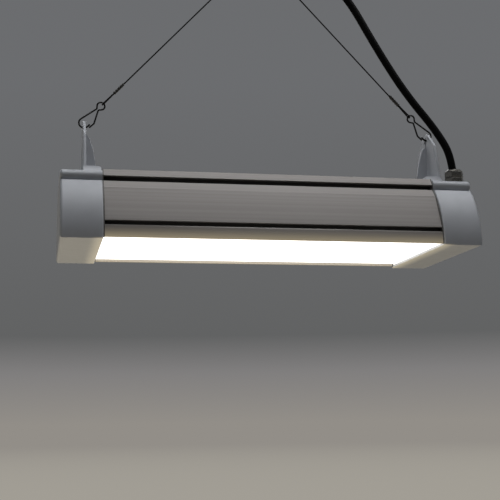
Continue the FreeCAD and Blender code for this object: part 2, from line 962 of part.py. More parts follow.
def cable_route():
    """Points of the supply cable, from inside the gland up to the ring, where it is tied."""
    place, heading = tie_place()
    front = place - V(0, (ring_wire + cable_diameter) / 2 + fit_gap, 0)
    return [
        V(gland_centre, gland_depth, cable_foot()),
        V(gland_centre, gland_depth, gland_top() + cable_rise),
        *[V(*point) for point in cable_bends],
        front - heading * tie_lead_in,
        front + heading * tie_lead_out,
    ]


def cable_end():
    """End point of the supply cable and the direction in which it points."""
    route = cable_route()
    return route[-1], unit(route[-1] - route[-2])


def power_cable():
    route = cable_route()
    radii = cord_radii(route)
    path = rounded_path(route, radii)
    cable = tube(path, cable_diameter)
    section_area = math.pi * cable_diameter**2 / 4
    print("cable radii", [round(radius) for radius in radii])
    print("cable length", round(path.Length, 1))
    print("cable volume ratio", round(cable.Volume / section_area / path.Length, 4))
    return cable


def core_starts():
    """Centres of the three cores on the cable's end face, and the direction in which they point."""
    end, heading = cable_end()
    level = V(0, 1, 0)
    upright = heading.cross(level)
    starts = []
    for step in range(3):
        turn = math.radians(90 + 120 * step)
        offset = level * math.cos(turn) + upright * math.sin(turn)
        starts.append(end + offset * (cable_diameter / 4))
    return starts, heading


def lead_cores():
    starts, heading = core_starts()
    return [Part.makeCylinder(core_diameter / 2, core_length, start, heading) for start in starts]


def core_strands():
    starts, heading = core_starts()
    return [
        Part.makeCylinder(strand_diameter / 2, strand_length, start + heading * core_length, heading)
        for start in starts
    ]


def tie_loop(grow):
    """Outline round the cable and the ring's wire, in a plane across the cable, as a face."""
    place, heading = tie_place()
    across = heading.cross(V(0, 1, 0))
    front = V(place.x, cable_route()[-1].y, place.z)
    small = ring_wire / 2 + grow
    large = cable_diameter / 2 + grow
    lean = math.asin((large - small) / (place - front).Length)
    side_step = across * math.cos(lean)
    back_step = V(0, math.sin(lean), 0)
    ring_a = place + (back_step + side_step) * small
    ring_b = place + (back_step - side_step) * small
    cable_a = front + (back_step + side_step) * large
    cable_b = front + (back_step - side_step) * large
    edges = [
        line(cable_a, ring_a),
        arc(ring_a, place + V(0, small, 0), ring_b),
        line(ring_b, cable_b),
        arc(cable_b, front - V(0, large, 0), cable_a),
    ]
    return Part.Face(Part.Wire(edges)), heading, front - V(0, large, 0)


def cable_tie():
    """Nylon tie round the cable and the ring, with its locking head on the front."""
    outer, heading, nose = tie_loop(fit_gap + tie_thickness)
    inner = tie_loop(fit_gap)[0]
    band = outer.cut(inner).Faces[0]
    band.translate(heading * (-tie_width / 2))
    loop = band.extrude(heading * tie_width)
    head = Part.makeBox(tie_head, tie_head, tie_head)
    head.translate(V(-tie_head / 2, -tie_head, -tie_head / 2))
    head = head.makeFillet(tie_head / 8, head.Edges)
    head.rotate(V(0, 0, 0), V(0, 1, 0), math.degrees(math.atan2(heading.x, heading.z)))
    head.translate(nose + V(0, tie_thickness / 2, 0))
    return loop.fuse(head).removeSplitter()


def export(name, solids):
    """Write one node, moved so that the ring's centre is the origin."""
    shape = Part.makeCompound(solids) if isinstance(solids, list) else solids
    shape = shape.copy()
    shape.translate(V(0, 0, -ring_height))
    shape.exportStep("parts/" + name + ".step")


def main():
    os.makedirs("parts", exist_ok=True)
    cap = end_cap()
    gasket = end_gasket()
    screws = cap_screws()
    hook = snap_hook()
    wire = suspension_wire()
    lower_ferrule = ferrule(eye_bearing() + wire_loop)
    upper_ferrule = ferrule(ring_bearing() - wire_loop - ferrule_length)
    paired = {
        "end_gasket": gasket,
        "snap_hook": hook,
        "suspension_wire": wire,
        "lower_ferrule": lower_ferrule,
        "upper_ferrule": upper_ferrule,
    }
    for name, shape in paired.items():
        export(name + "_right", shape)
        export(name + "_left", mirrored(shape))
    export("end_cap_right", gland_cap(cap))
    export("end_cap_left", mirrored(cap))
    export("cap_screws_right", screws)
    export("cap_screws_left", [mirrored(screw) for screw in screws])
    for name, row in zip(("front", "middle", "rear"), board_rows()):
        export("led_board_" + name, led_board(row))
    single = {
        "housing_profile": housing_profile(),
        "diffuser": diffuser(),
        "led_chips": led_chips(),
        "board_screws": board_screws(),
        "led_driver": led_driver(),
        "driver_screws": driver_screws(),
        "terminal_block": terminal_block(),
        "gland_body": gland_body(),
        "gland_washer": gland_washer(),
        "gland_seal": gland_seal(),
        "gland_nut": gland_nut(),
        "power_cable": power_cable(),
        "core_strands": core_strands(),
        "cable_tie": cable_tie(),
        "hanging_ring": hanging_ring(),
    }
    for name, shape in single.items():
        export(name, shape)
    colours = ("live", "earth", "neutral")
    for name, core, lead in zip(colours, supply_cores(), lead_cores()):
        export("supply_core_" + name, core)
        export("lead_core_" + name, lead)
    for name, lead in zip(("live", "neutral"), driver_leads()):
        export("driver_lead_" + name, lead)


main()
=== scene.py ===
"""Looks of a suspended LED tunnel light: profile, end caps, gland, hooks, wires, supply cable and stage.

Metres, in the frame of the solid parts: the origin is the hanging ring's centre, +X runs along the lamp,
+Y to its back and +Z up. Heights in the sizes below are measured up from the underside of the end caps.
"""

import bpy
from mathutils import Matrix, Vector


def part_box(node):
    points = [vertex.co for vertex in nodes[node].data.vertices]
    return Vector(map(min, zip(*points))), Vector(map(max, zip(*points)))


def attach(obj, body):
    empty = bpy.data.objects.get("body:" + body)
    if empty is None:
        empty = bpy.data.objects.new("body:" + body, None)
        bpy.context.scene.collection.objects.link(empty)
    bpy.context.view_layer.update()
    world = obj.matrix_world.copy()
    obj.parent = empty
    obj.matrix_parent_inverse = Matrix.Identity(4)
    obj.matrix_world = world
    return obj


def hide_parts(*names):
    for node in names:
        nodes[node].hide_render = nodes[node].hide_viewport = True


bl_info = {
    "name": "LED tunnel light",
    "version": (1, 0, 0),
    "blender": (4, 5, 0),
    "location": "View3D > Sidebar > Tunnel light",
    "description": "Builds the surfaces, cords and finishes of a suspended LED tunnel light",
    "category": "Object",
}

import math

import bmesh
import bpy
from bpy.props import FloatProperty, FloatVectorProperty, IntProperty, PointerProperty
from mathutils import Matrix, Vector

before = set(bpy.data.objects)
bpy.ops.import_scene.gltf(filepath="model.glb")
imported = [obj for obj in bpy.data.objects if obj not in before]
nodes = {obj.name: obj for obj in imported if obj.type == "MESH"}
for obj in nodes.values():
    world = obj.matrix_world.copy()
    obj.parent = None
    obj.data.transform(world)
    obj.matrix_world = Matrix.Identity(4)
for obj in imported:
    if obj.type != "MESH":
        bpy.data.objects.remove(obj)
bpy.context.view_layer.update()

CAP_LOW, CAP_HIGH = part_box("end_cap_right")
PROFILE_LOW, PROFILE_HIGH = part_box("housing_profile")
SHEET_LOW, SHEET_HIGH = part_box("diffuser")
GLAND_LOW, GLAND_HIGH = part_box("gland_nut")
GLAND_MIDDLE = (GLAND_LOW + GLAND_HIGH) / 2
BASE = CAP_LOW.z
BODY = "root"
HANDS = {"left": -1, "right": 1}

# Angle past which the profile's lengthwise edges are softened, and how finely round shapes are divided
SHARP_EDGE = math.radians(8.0)
ARC_STEP = math.radians(1.5)
EDGE_SEGMENTS = 2
WIDE_EDGE_SEGMENTS = 3
DOME_STEPS = 64
SLEEVE_STEPS = 32
CABLE_STEPS = 16
CABLE_ROUND_STEPS = 10
WIRE_STEPS = 96


def length(name, description, default):
    return FloatProperty(name=name, description=description, default=default, unit="LENGTH", precision=5)


def angle(name, description, degrees):
    return FloatProperty(name=name, description=description, default=math.radians(degrees), unit="ROTATION")


def amount(name, description, default):
    return FloatProperty(name=name, description=description, default=default, min=0.0)


def count(name, description, default, least):
    return IntProperty(name=name, description=description, default=default, min=least)


def colour(name, description, default):
    return FloatVectorProperty(
        name=name, description=description, default=default, size=3, min=0.0, max=1.0, subtype="COLOR"
    )


class TunnelLightProfile(bpy.types.PropertyGroup):
    """Sizes of the extruded profile, as it is cut across, and of the stops beside its diffuser."""

    inset: length("Inset", "How far the profile lies inside the end caps", 0.0017)
    shoulder_depth: length("Shoulder depth", "Half depth of the end caps at their ledge", 0.0604)
    shoulder_height: length("Shoulder height", "Height of the end caps' ledge", 0.0607)
    wall: length("Wall", "Thickness of the sides", 0.0022)
    facet_height: length("Facet height", "Where the arched side turns into a flat facet", 0.053)
    facet_depth: length("Facet depth", "Half depth at the facet's top", 0.0564)
    side_bulge: length("Side bulge", "How far the side stands out between lower groove and facet", 0.0008)
    top_depth: length("Top depth", "Half depth at the lower edge of the top lip", 0.057)
    lip_lean: length("Lip lean", "How far the top lip leans back", 0.0055)
    lower_groove: length("Lower groove", "Height of the lower groove's floor", 0.014)
    lower_groove_height: length("Lower groove height", "How wide the lower groove is", 0.0042)
    lower_groove_depth: length("Lower groove depth", "How deep the lower groove is", 0.006)
    upper_groove: length("Upper groove", "Height of the upper groove's floor", 0.0618)
    upper_groove_height: length("Upper groove height", "How wide the upper groove is", 0.0047)
    upper_groove_depth: length("Upper groove depth", "How deep the upper groove is", 0.007)
    plate: length("Plate", "Thickness of the plate that carries the boards", 0.0025)
    top_plate: length("Top plate", "Thickness of the top below the fins", 0.0025)
    fin_width: length("Fin width", "Thickness of a cooling fin", 0.0018)
    fin_gaps: count("Fin gaps", "How many gaps lie between the fins", 13, least=3)
    rim_height: length("Rim height", "How far the rim stands below the diffuser", 0.0027)
    rim_width: length("Rim width", "Width of the rim beside the diffuser", 0.003)
    slot_height: length("Slot height", "Height of the slot that carries the diffuser", 0.0024)
    slot_depth: length("Slot depth", "How far the diffuser reaches into the rim", 0.0017)
    slot_ledge: length("Slot ledge", "Thickness of the ledge above the diffuser", 0.0016)
    cap_wall: length("Cap wall", "Thickness of the end caps' underside", 0.0026)
    stop_width: length("Stop width", "Width of the stops at the ends of the diffuser", 0.003)
    edge_round: length("Edge round", "Radius of the lengthwise edges", 0.0005)
    lip_round: length("Lip round", "Radius of the edge below each groove", 0.0012)


class TunnelLightGland(bpy.types.PropertyGroup):
    """Sizes of the cable gland."""

    flats: length("Flats", "Width across the flats of both hexagons", 0.018)
    edge_round: length("Edge round", "Radius of the hexagons' edges", 0.0005)
    dome_height: length("Dome height", "Height of the nut's turned top", 0.0021)
    dome_top: length("Dome top", "Diameter of the turned top", 0.014)
    bore: length("Bore", "Diameter of the hole for the cable", 0.010)


class TunnelLightCords(bpy.types.PropertyGroup):
    """Sizes of the supply cable and of the suspension wires."""

    cable_diameter: length("Cable diameter", "Outside of the supply cable", 0.008)
    cable_length: length("Cable length", "From inside the gland to the end of the sheath", 0.363)
    wire_diameter: length("Wire diameter", "Outside of a suspension wire", 0.0015)
    wire_length: length("Wire length", "One suspension wire with both its loops", 0.306)
    wire_lay: length("Wire lay", "Length in which the wire's strands make one turn", 0.014)
    wire_strands: count("Wire strands", "Outer strands of a wire", 6, least=3)
    hook_reach: length("Hook reach", "Distance of the hooks' bends from the lamp's middle", 0.1853)
    hook_drop: length("Hook drop", "How far the hooks' bends lie below the ring's centre", 0.1967)
    sleeve_radius: length("Sleeve radius", "Half width of the sleeves on the wires", 0.0016)
    sleeve_length: length("Sleeve length", "Length of the sleeves on the wires", 0.014)
    sleeve_squeeze: amount("Sleeve squeeze", "Width left in the pressed bands", 0.86)
    sleeve_bands: count("Sleeve bands", "Pressed bands of a sleeve", 4, least=1)
    strand_spacing: length("Strand spacing", "Distance between the two runs of wire in a sleeve", 0.0014)


class TunnelLightColours(bpy.types.PropertyGroup):
    """Colours of the finishes, and the light of the diffuser."""

    cap: colour("End caps", "Silver coat of the castings", (0.419, 0.438, 0.474))
    profile: colour("Profile", "Anodised aluminium", (0.358, 0.340, 0.331))
    # Painted shade: the grooves' insides are coloured near black in place of the shade that falls in them.
    groove: colour("Groove", "Dark inside of the profile's grooves", (0.02, 0.02, 0.019))
    opal: colour("Opal", "Diffuser without its light", (0.92, 0.93, 0.94))
    light: colour("Light", "Colour of the lit diffuser", (1.0, 0.98, 0.94))
    light_strength: amount("Light strength", "How brightly the diffuser shines", 2.2)
    # Painted light: colour of the glow painted on the caps' undersides and the profile's low strip, in
    # place of the diffuser's light on them.
    painted_spill: colour("Spill", "Light of the diffuser on what lies beside it", (0.20, 0.165, 0.10))
    gasket: colour("Gasket", "Grey rubber between the profile and the end caps", (0.105, 0.102, 0.099))
    rubber: colour("Rubber", "Black seals of the cable gland", (0.035, 0.034, 0.034))
    nickel: colour("Nickel", "Plated cable gland", (0.14, 0.136, 0.125))
    zinc: colour("Zinc", "Plated screws and ring", (0.50, 0.50, 0.51))
    spring_wire: colour("Spring wire", "Snap hooks", (0.016, 0.016, 0.016))
    wire_rope: colour("Wire rope", "Suspension wires", (0.005, 0.005, 0.005))
    ferrule: colour("Ferrule", "Pressed sleeves on the wires", (0.045, 0.045, 0.044))
    cable: colour("Cable", "Sheath of the supply cable", (0.002, 0.002, 0.0022))
    nylon: colour("Nylon", "Cable tie", (0.014, 0.014, 0.014))
    live: colour("Live", "Brown insulation", (0.16, 0.055, 0.025))
    neutral: colour("Neutral", "Blue insulation", (0.025, 0.10, 0.42))
    earth: colour("Earth", "Green of the earth core", (0.04, 0.22, 0.04))
    earth_stripe: colour("Earth stripe", "Yellow of the earth core", (0.75, 0.60, 0.04))
    copper: colour("Copper", "Bare strands", (0.72, 0.34, 0.18))
    board: colour("Board", "White circuit boards", (0.82, 0.83, 0.81))
    phosphor: colour("Phosphor", "Face of the LED packages", (0.86, 0.68, 0.16))
    driver: colour("Driver", "Case of the driver", (0.55, 0.55, 0.56))
    terminal: colour("Terminal", "Plastic of the terminal block", (0.74, 0.73, 0.67))


class TunnelLightStage(bpy.types.PropertyGroup):
    """Camera, floor and lights."""

    camera_place: FloatVectorProperty(
        name="Camera place",
        description="Where the camera stands",
        default=(-0.2300, -1.1104, -0.5038),
        size=3,
        subtype="TRANSLATION",
    )
    camera_yaw: angle("Camera yaw", "How far the camera turns right of straight ahead", 11.07)
    camera_pitch: angle("Camera pitch", "How far the camera looks up", 8.91)
    camera_roll: angle("Camera roll", "How far the camera leans", -0.72)
    camera_lens: FloatProperty(name="Lens", description="Focal length", default=79.2, unit="CAMERA")
    floor_drop: length("Floor drop", "How far the floor lies below the lamp", 0.9)
    floor_size: length("Floor size", "Width of the floor", 160.0)
    floor_near: length("Floor near", "Where the lit floor starts to turn into its even tone", 0.4)
    floor_far: length("Floor far", "Where the floor has its even tone", 1.4)
    floor_tone: colour("Floor tone", "Pale floor under the lamps", (0.62, 0.58, 0.51))
    floor_lift: colour("Floor lift", "Added to the floor where it is seen directly", (0.20, 0.19, 0.168))
    floor_even: colour("Floor even tone", "Pale floor away from the lamps", (0.36, 0.34, 0.30))
    haze_near: length("Haze near", "Where the floor starts to turn into the room", 8.0)
    haze_far: length("Haze far", "Where the floor has turned into the room", 40.0)
    room_tone: colour("Room tone", "Room behind the lamp", (0.148, 0.152, 0.159))
    dim_tone: colour("Dim tone", "Room just above its lit foot", (0.122, 0.124, 0.125))
    lit_tone: colour("Lit tone", "Upper part of the room's lit foot", (0.216, 0.210, 0.209))
    horizon_tone: colour("Horizon tone", "Where the room's lit foot meets the floor", (0.288, 0.270, 0.246))
    room_light: amount("Room light", "Strength of the room's even light on the lamp", 0.05)
    ceiling_light: amount("Ceiling light", "Power of the soft light overhead, in watts", 5.3)
    bounce_light: amount("Bounce light", "Power of the soft light thrown up from the floor, in watts", 3.9)
    bounce_tint: colour("Bounce tint", "Warm tint of the light from the floor", (1.0, 0.86, 0.62))
    left_light: amount("Left light", "Power of the soft light beyond the left end, in watts", 0.2)
    right_light: amount("Right light", "Power of the soft light beyond the right end, in watts", 0.4)
    back_light: amount("Back light", "Power of the soft light behind the lamp, in watts", 2.5)


def work_out(tree, operation, *sources):
    """Node that works out a number from the outputs of others."""
    node = tree.nodes.new("ShaderNodeMath")
    node.operation = operation
    for socket, source in zip(node.inputs, sources):
        tree.links.new(source, socket)
    return node


class Finish:
    """A material in the making: its nodes, its links and its main shader."""

    def __init__(self, name, base, roughness, metallic=0.0, specular=0.5):
        self.material = bpy.data.materials.new(name)
        self.material.use_nodes = True
        self.material.diffuse_color = (*base, 1.0)
        self.tree = self.material.node_tree
        self.shader = self.tree.nodes["Principled BSDF"]
        self.base = Vector(base)
        self.set("Base Color", (*base, 1.0))
        self.set("Roughness", roughness)
        self.set("Metallic", metallic)
        self.set("Specular IOR Level", specular)

    def set(self, socket, value):
        self.shader.inputs[socket].default_value = value

    def add(self, kind, **inputs):
        node = self.tree.nodes.new(kind)
        for socket, value in inputs.items():
            node.inputs[socket.replace("_", " ")].default_value = value
        return node

    def join(self, source, target, socket):
        self.tree.links.new(source.outputs[0], target.inputs[socket])

    def place(self, stretch=(1.0, 1.0, 1.0), turn=(0.0, 0.0, 0.0)):
        """The piece's own coordinates, turned and then stretched along its axes."""
        here = self.add("ShaderNodeTexCoord")
        turned = self.add("ShaderNodeMapping", Rotation=turn)
        self.tree.links.new(here.outputs["Object"], turned.inputs["Vector"])
        scaled = self.add("ShaderNodeMapping", Scale=stretch)
        self.join(turned, scaled, "Vector")
        return scaled

    def noise(self, scale, detail=4.0, rough=0.55, stretch=(1.0, 1.0, 1.0)):
        node = self.add("ShaderNodeTexNoise", Scale=scale, Detail=detail, Roughness=rough)
        self.join(self.place(stretch), node, "Vector")
        return node

    def streaks(self, along, across, detail=5.0, rough=0.6):
        """Noise that is drawn out along the lamp."""
        return self.noise(1.0, detail, rough, (along, across, across))

    def span(self, source, low, high, start=0.3, end=0.7):
        """The source's values between start and end, stretched to run from low to high."""
        node = self.add("ShaderNodeMapRange", From_Min=start, From_Max=end, To_Min=low, To_Max=high)
        self.join(source, node, "Value")
        return node

    def tones(self, source, dark, light, start=0.3, end=0.7):
        """Base colour between two tones of the finish."""
        ramp = self.add("ShaderNodeValToRGB")
        stops = ((start, dark), (end, light))
        for element, (position, share) in zip(ramp.color_ramp.elements, stops):
            element.position = position
            element.color = (*(self.base * share), 1.0)
        self.join(source, ramp, "Fac")
        self.join(ramp, self.shader, "Base Color")
        return ramp

    def sheen(self, source, low, high):
        """Roughness between two values."""
        self.join(self.span(source, low, high), self.shader, "Roughness")

    def relief(self, source, strength, depth):
        """Fine relief on top of what is there already."""
        bump = self.add("ShaderNodeBump", Strength=strength, Distance=depth)
        self.join(source, bump, "Height")
        earlier = self.shader.inputs["Normal"].links
        if earlier:
            self.tree.links.new(earlier[0].from_socket, bump.inputs["Normal"])
        self.join(bump, self.shader, "Normal")

    def mottle(self, scale, dark, light, detail=5.0):
        """Base colour in soft patches."""
        self.tones(self.noise(scale, detail), dark, light)

    def gloss(self, scale, low, high, detail=4.0):
        """Roughness in soft patches."""
        self.sheen(self.noise(scale, detail), low, high)

    def grain(self, scale, strength, depth, detail=3.0):
        """Relief of fine, even grains."""
        self.relief(self.noise(scale, detail), strength, depth)

    def fade(self, axis, start, end):
        """1 at a first distance from the ring's centre along an axis and 0 at a second, on either side."""
        parts = self.add("ShaderNodeSeparateXYZ")
        self.join(self.place(), parts, "Vector")
        node = self.span(work_out(self.tree, "ABSOLUTE", parts.outputs[axis]), 1.0, 0.0, start, end)
        node.interpolation_type = "SMOOTHSTEP"
        return node

    def overlap(self, first, second):
        """Product of two fades."""
        return work_out(self.tree, "MULTIPLY", first.outputs[0], second.outputs[0])

    def shine(self, tint, strength):
        """Light of the finish itself."""
        self.set("Emission Color", (*tint, 1.0))
        self.join(strength, self.shader, "Emission Strength")


# How far the painted glow of the diffuser's light reaches along the caps' undersides, and the heights
# between which it ends
CAP_SPILL = 0.014
UNDERSIDE_LIT = 0.0002
UNDERSIDE_DARK = 0.0015

# Heights that the painted glow of the diffuser's light reaches on the profile's low strip, in two fades
# that are multiplied
STRIP_SPILLS = (0.016, 0.018)

# Where the diffuser dims, at the caps and beside its long edges, and the share of its light that is left
DIM_BEFORE_CAP = 0.004
DIM_INSIDE_CAP = 0.001
DIM_FROM_EDGE = 0.006
DIM_TO_EDGE = 0.001
EDGE_LIGHT = 0.36


def silver_coat(tones):
    """Sprayed silver over a casting: soft mottling, a fine orange peel and a satin gloss, and a painted
    glow of the diffuser's light on the undersides beside it.
    """
    finish = Finish("silver_coat", tones.cap, roughness=0.5, metallic=0.1, specular=0.45)
    finish.mottle(scale=60.0, dark=0.97, light=1.03)
    finish.gloss(scale=160.0, low=0.45, high=0.57, detail=6.0)
    finish.grain(scale=900.0, strength=0.12, depth=0.00006)
    finish.grain(scale=3200.0, strength=0.1, depth=0.00002, detail=2.0)
    # Painted light: a warm glow on the caps' undersides beside the diffuser's ends, in place of the
    # diffuser's light falling on them.
    beside = finish.fade("X", CAP_LOW.x, CAP_LOW.x + CAP_SPILL)
    underside = finish.fade("Z", -BASE - UNDERSIDE_LIT, -BASE - UNDERSIDE_DARK)
    finish.shine(tones.painted_spill, finish.overlap(beside, underside))
    return finish.material


def drawn_aluminium(tones):
    """Anodised extrusion: fine lengthwise die lines over a soft satin, and a painted glow of the diffuser's
    light along its low strip.
    """
    finish = Finish("drawn_aluminium", tones.profile, roughness=0.62, metallic=0.15, specular=0.3)
    finish.tones(finish.streaks(along=0.12, across=420.0, detail=7.0, rough=0.7), dark=0.86, light=1.10)
    finish.sheen(finish.streaks(along=1.5, across=260.0, detail=4.0, rough=0.5), low=0.58, high=0.68)
    finish.relief(finish.streaks(along=0.5, across=1100.0), strength=0.35, depth=0.00005)
    finish.grain(scale=1400.0, strength=0.12, depth=0.00002)
    # Painted light: the bottom of the profile glows warm, fading out over the strip below the lower groove,
    # in place of the diffuser's light falling on it.
    strip = [finish.fade("Z", -BASE, -BASE - height) for height in STRIP_SPILLS]
    finish.shine(tones.painted_spill, finish.overlap(*strip))
    return finish.material


def groove_aluminium(tones):
    """Painted shade in the side grooves: floor and walls coloured near black and unpolished, with faint
    lengthwise lines.
    """
    finish = Finish("groove_aluminium", tones.groove, roughness=0.7, metallic=0.2)
    lines = finish.streaks(along=4.0, across=700.0)
    finish.tones(lines, dark=0.6, light=1.4)
    finish.relief(lines, strength=0.3, depth=0.00004)
    return finish.material


def lit_opal(tones):
    """Opal sheet with light behind it: even, a little softer towards its edges, with a fine matt grain."""
    finish = Finish("lit_opal", tones.opal, roughness=0.55)
    finish.mottle(scale=60.0, dark=0.97, light=1.0, detail=4.0)
    finish.grain(scale=1800.0, strength=0.15, depth=0.00003, detail=2.0)
    between_caps = finish.fade("X", CAP_LOW.x - DIM_BEFORE_CAP, CAP_LOW.x + DIM_INSIDE_CAP)
    between_edges = finish.fade("Y", SHEET_HIGH.y - DIM_FROM_EDGE, SHEET_HIGH.y - DIM_TO_EDGE)
    inner = finish.overlap(between_caps, between_edges)
    strength = tones.light_strength
    finish.shine(tones.light, finish.span(inner, EDGE_LIGHT * strength, strength, start=0.0, end=1.0))
    return finish.material


def lit_stop(tones):
    """White plastic beside the opal sheet, which lets some of its light through."""
    finish = Finish("lit_stop", tones.board, roughness=0.5)
    finish.mottle(scale=120.0, dark=0.93, light=1.04)
    finish.shine(tones.light, finish.span(finish.noise(60.0), low=0.42, high=0.5))
    return finish.material


def rubber(name, base):
    """Matt rubber with a fine bloom."""
    finish = Finish(name, base, roughness=0.7)
    finish.mottle(scale=300.0, dark=0.7, light=1.6)
    finish.gloss(scale=120.0, low=0.6, high=0.8)
    finish.grain(scale=2600.0, strength=0.3, depth=0.00004)
    return finish.material


def nickel_plate(tones):
    """Turned and milled brass under dull nickel, with fine tool marks round its axis."""
    finish = Finish("nickel_plate", tones.nickel, roughness=0.3, metallic=1.0)
    marks = finish.noise(1.0, detail=5.0, rough=0.6, stretch=(500.0, 500.0, 2600.0))
    finish.mottle(scale=380.0, dark=0.8, light=1.15)
    finish.sheen(marks, low=0.2, high=0.38)
    finish.relief(marks, strength=0.2, depth=0.00002)
    return finish.material


def bright_zinc(tones):
    """Bright plating of the screws and the ring."""
    finish = Finish("bright_zinc", tones.zinc, roughness=0.3, metallic=1.0)
    finish.mottle(scale=420.0, dark=0.82, light=1.12)
    finish.gloss(scale=260.0, low=0.22, high=0.4)
    finish.grain(scale=2400.0, strength=0.2, depth=0.00002)
    return finish.material


def spring_steel(tones):
    """Dark drawn wire with faint scale."""
    finish = Finish("spring_steel", tones.spring_wire, roughness=0.4, metallic=0.5, specular=0.2)
    finish.mottle(scale=900.0, dark=0.7, light=1.4)
    finish.gloss(scale=500.0, low=0.3, high=0.5)
    finish.grain(scale=3500.0, strength=0.25, depth=0.00002)
    return finish.material


def rope_steel(tones):
    """Dark strands of the suspension wires."""
    finish = Finish("rope_steel", tones.wire_rope, roughness=0.42, specular=0.08)
    finish.mottle(scale=1200.0, dark=0.75, light=1.3, detail=4.0)
    finish.gloss(scale=700.0, low=0.32, high=0.5)
    return finish.material


def pressed_aluminium(tones):
    """Dull sleeves, pitted by the pressing tool."""
    finish = Finish("pressed_aluminium", tones.ferrule, roughness=0.4, metallic=0.9)
    finish.mottle(scale=800.0, dark=0.8, light=1.12)
    finish.gloss(scale=500.0, low=0.3, high=0.5)
    finish.grain(scale=1600.0, strength=0.3, depth=0.00004)
    return finish.material


def cable_sheath(tones):
    """Smooth black sheath with a soft gloss and a faint grain."""
    finish = Finish("cable_sheath", tones.cable, roughness=0.5, specular=0.04)
    finish.mottle(scale=90.0, dark=0.75, light=1.5)
    finish.gloss(scale=220.0, low=0.42, high=0.58)
    finish.grain(scale=1500.0, strength=0.2, depth=0.00004)
    return finish.material


def black_nylon(tones):
    """Moulded nylon of the cable tie."""
    finish = Finish("black_nylon", tones.nylon, roughness=0.45)
    finish.mottle(scale=300.0, dark=0.8, light=1.5, detail=4.0)
    finish.grain(scale=2200.0, strength=0.2, depth=0.00003)
    return finish.material


def insulation(name, base):
    """Coloured insulation of a core."""
    finish = Finish(name, base, roughness=0.4)
    finish.mottle(scale=500.0, dark=0.85, light=1.15, detail=4.0)
    finish.grain(scale=2500.0, strength=0.15, depth=0.00002)
    return finish.material


def earth_insulation(tones):
    """Green insulation with a yellow stripe along it."""
    finish = Finish("earth_insulation", tones.earth, roughness=0.4)
    wave = finish.add("ShaderNodeTexWave", Scale=190.0, Distortion=0.4)
    wave.bands_direction = "Y"
    finish.join(finish.place(), wave, "Vector")
    ramp = finish.tones(wave, dark=1.0, light=1.0, start=0.48, end=0.52)
    ramp.color_ramp.elements[1].color = (*tones.earth_stripe, 1.0)
    finish.grain(scale=2500.0, strength=0.15, depth=0.00002)
    return finish.material


def bare_copper(tones):
    """Stranded copper: fine slanting grooves between the strands."""
    finish = Finish("bare_copper", tones.copper, roughness=0.32, metallic=1.0)
    finish.mottle(scale=1500.0, dark=0.75, light=1.1, detail=4.0)
    wave = finish.add("ShaderNodeTexWave", Scale=900.0, Distortion=0.6)
    finish.join(finish.place(turn=(0.0, math.radians(50.0), 0.0)), wave, "Vector")
    finish.relief(wave, strength=0.6, depth=0.00012)
    return finish.material


def moulded(name, base, roughness):
    """Matt moulded or printed plastic."""
    finish = Finish(name, base, roughness)
    finish.mottle(scale=120.0, dark=0.93, light=1.04)
    finish.grain(scale=1800.0, strength=0.15, depth=0.00003)
    return finish.material


def sheet_metal(tones):
    """Folded case of the driver, with a lengthwise grain."""
    finish = Finish("sheet_metal", tones.driver, roughness=0.42, metallic=0.85)
    lines = finish.streaks(along=6.0, across=500.0)
    finish.tones(lines, dark=0.88, light=1.06)
    finish.relief(lines, strength=0.2, depth=0.00003)
    return finish.material


def dress(material, *names):
    """Give parts whose shape is right already a better finish."""
    for name in names:
        for holder in nodes[name].material_slots:
            holder.material = material


def finish_of(name):
    """The finish that a part has been given."""
    return nodes[name].material_slots[0].material


def add_piece(name, data, material, slot, *stands_for):
    """Put a finished piece in the scene, on the lamp's body, in place of the solids that it stands for."""
    piece = bpy.data.objects.new(name, data)
    bpy.context.scene.collection.objects.link(piece)
    data.materials.append(material)
    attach(piece, BODY)
    if stands_for:
        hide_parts(*stands_for)
    return piece


def mesh_from(bm, name):
    """Close a bmesh into a mesh that is shaded smooth."""
    for face in bm.faces:
        face.smooth = True
    mesh = bpy.data.meshes.new(name)
    bm.to_mesh(mesh)
    bm.free()
    return mesh


def add_solid(name, bm, material, slot, *stands_for):
    """Piece made of a bmesh, with its broad faces kept flat beside their rounded edges."""
    piece = add_piece(name, mesh_from(bm, name), material, slot, *stands_for)
    weighted = piece.modifiers.new("flat_faces", "WEIGHTED_NORMAL")
    weighted.keep_sharp = True
    weighted.weight = 80
    return piece


def draw_outline(bm, start, steps):
    """Closed outline in the plane x = 0. A step is a line's end (y, z), or an arc's end and its centre."""
    here = bm.verts.new((0.0, *start))
    first = here
    for step in steps:
        end = Vector((0.0, *step[:2]))
        if len(step) == 2:
            there = bm.verts.new(end)
            bm.edges.new((here, there))
        else:
            centre = Vector((0.0, *step[2:]))
            begin = math.atan2(here.co.z - centre.z, here.co.y - centre.y)
            turn = math.atan2(end.z - centre.z, end.y - centre.y) - begin
            pieces = max(2, math.ceil(abs(turn) / ARC_STEP))
            spun = bmesh.ops.spin(bm, geom=[here], cent=centre, axis=(1, 0, 0), angle=turn, steps=pieces)
            there = spun["geom_last"][0]
            there.co = end
        here = there
    bm.edges.new((here, first))


def both_halves(bm):
    """Fill the drawn half outline and mirror it about the lamp's middle plane."""
    bmesh.ops.contextual_create(bm, geom=bm.edges[:])
    everything = bm.verts[:] + bm.edges[:] + bm.faces[:]
    bmesh.ops.mirror(bm, geom=everything, matrix=Matrix(), merge_dist=1e-7, axis="Y")


def draw_out(bm, along):
    """Draw the filled outline out along a vector, and turn every face outwards."""
    grown = bmesh.ops.extrude_face_region(bm, geom=bm.faces[:])["geom"]
    moved = [part for part in grown if isinstance(part, bmesh.types.BMVert)]
    bmesh.ops.translate(bm, verts=moved, vec=along)
    bmesh.ops.recalc_face_normals(bm, faces=bm.faces[:])


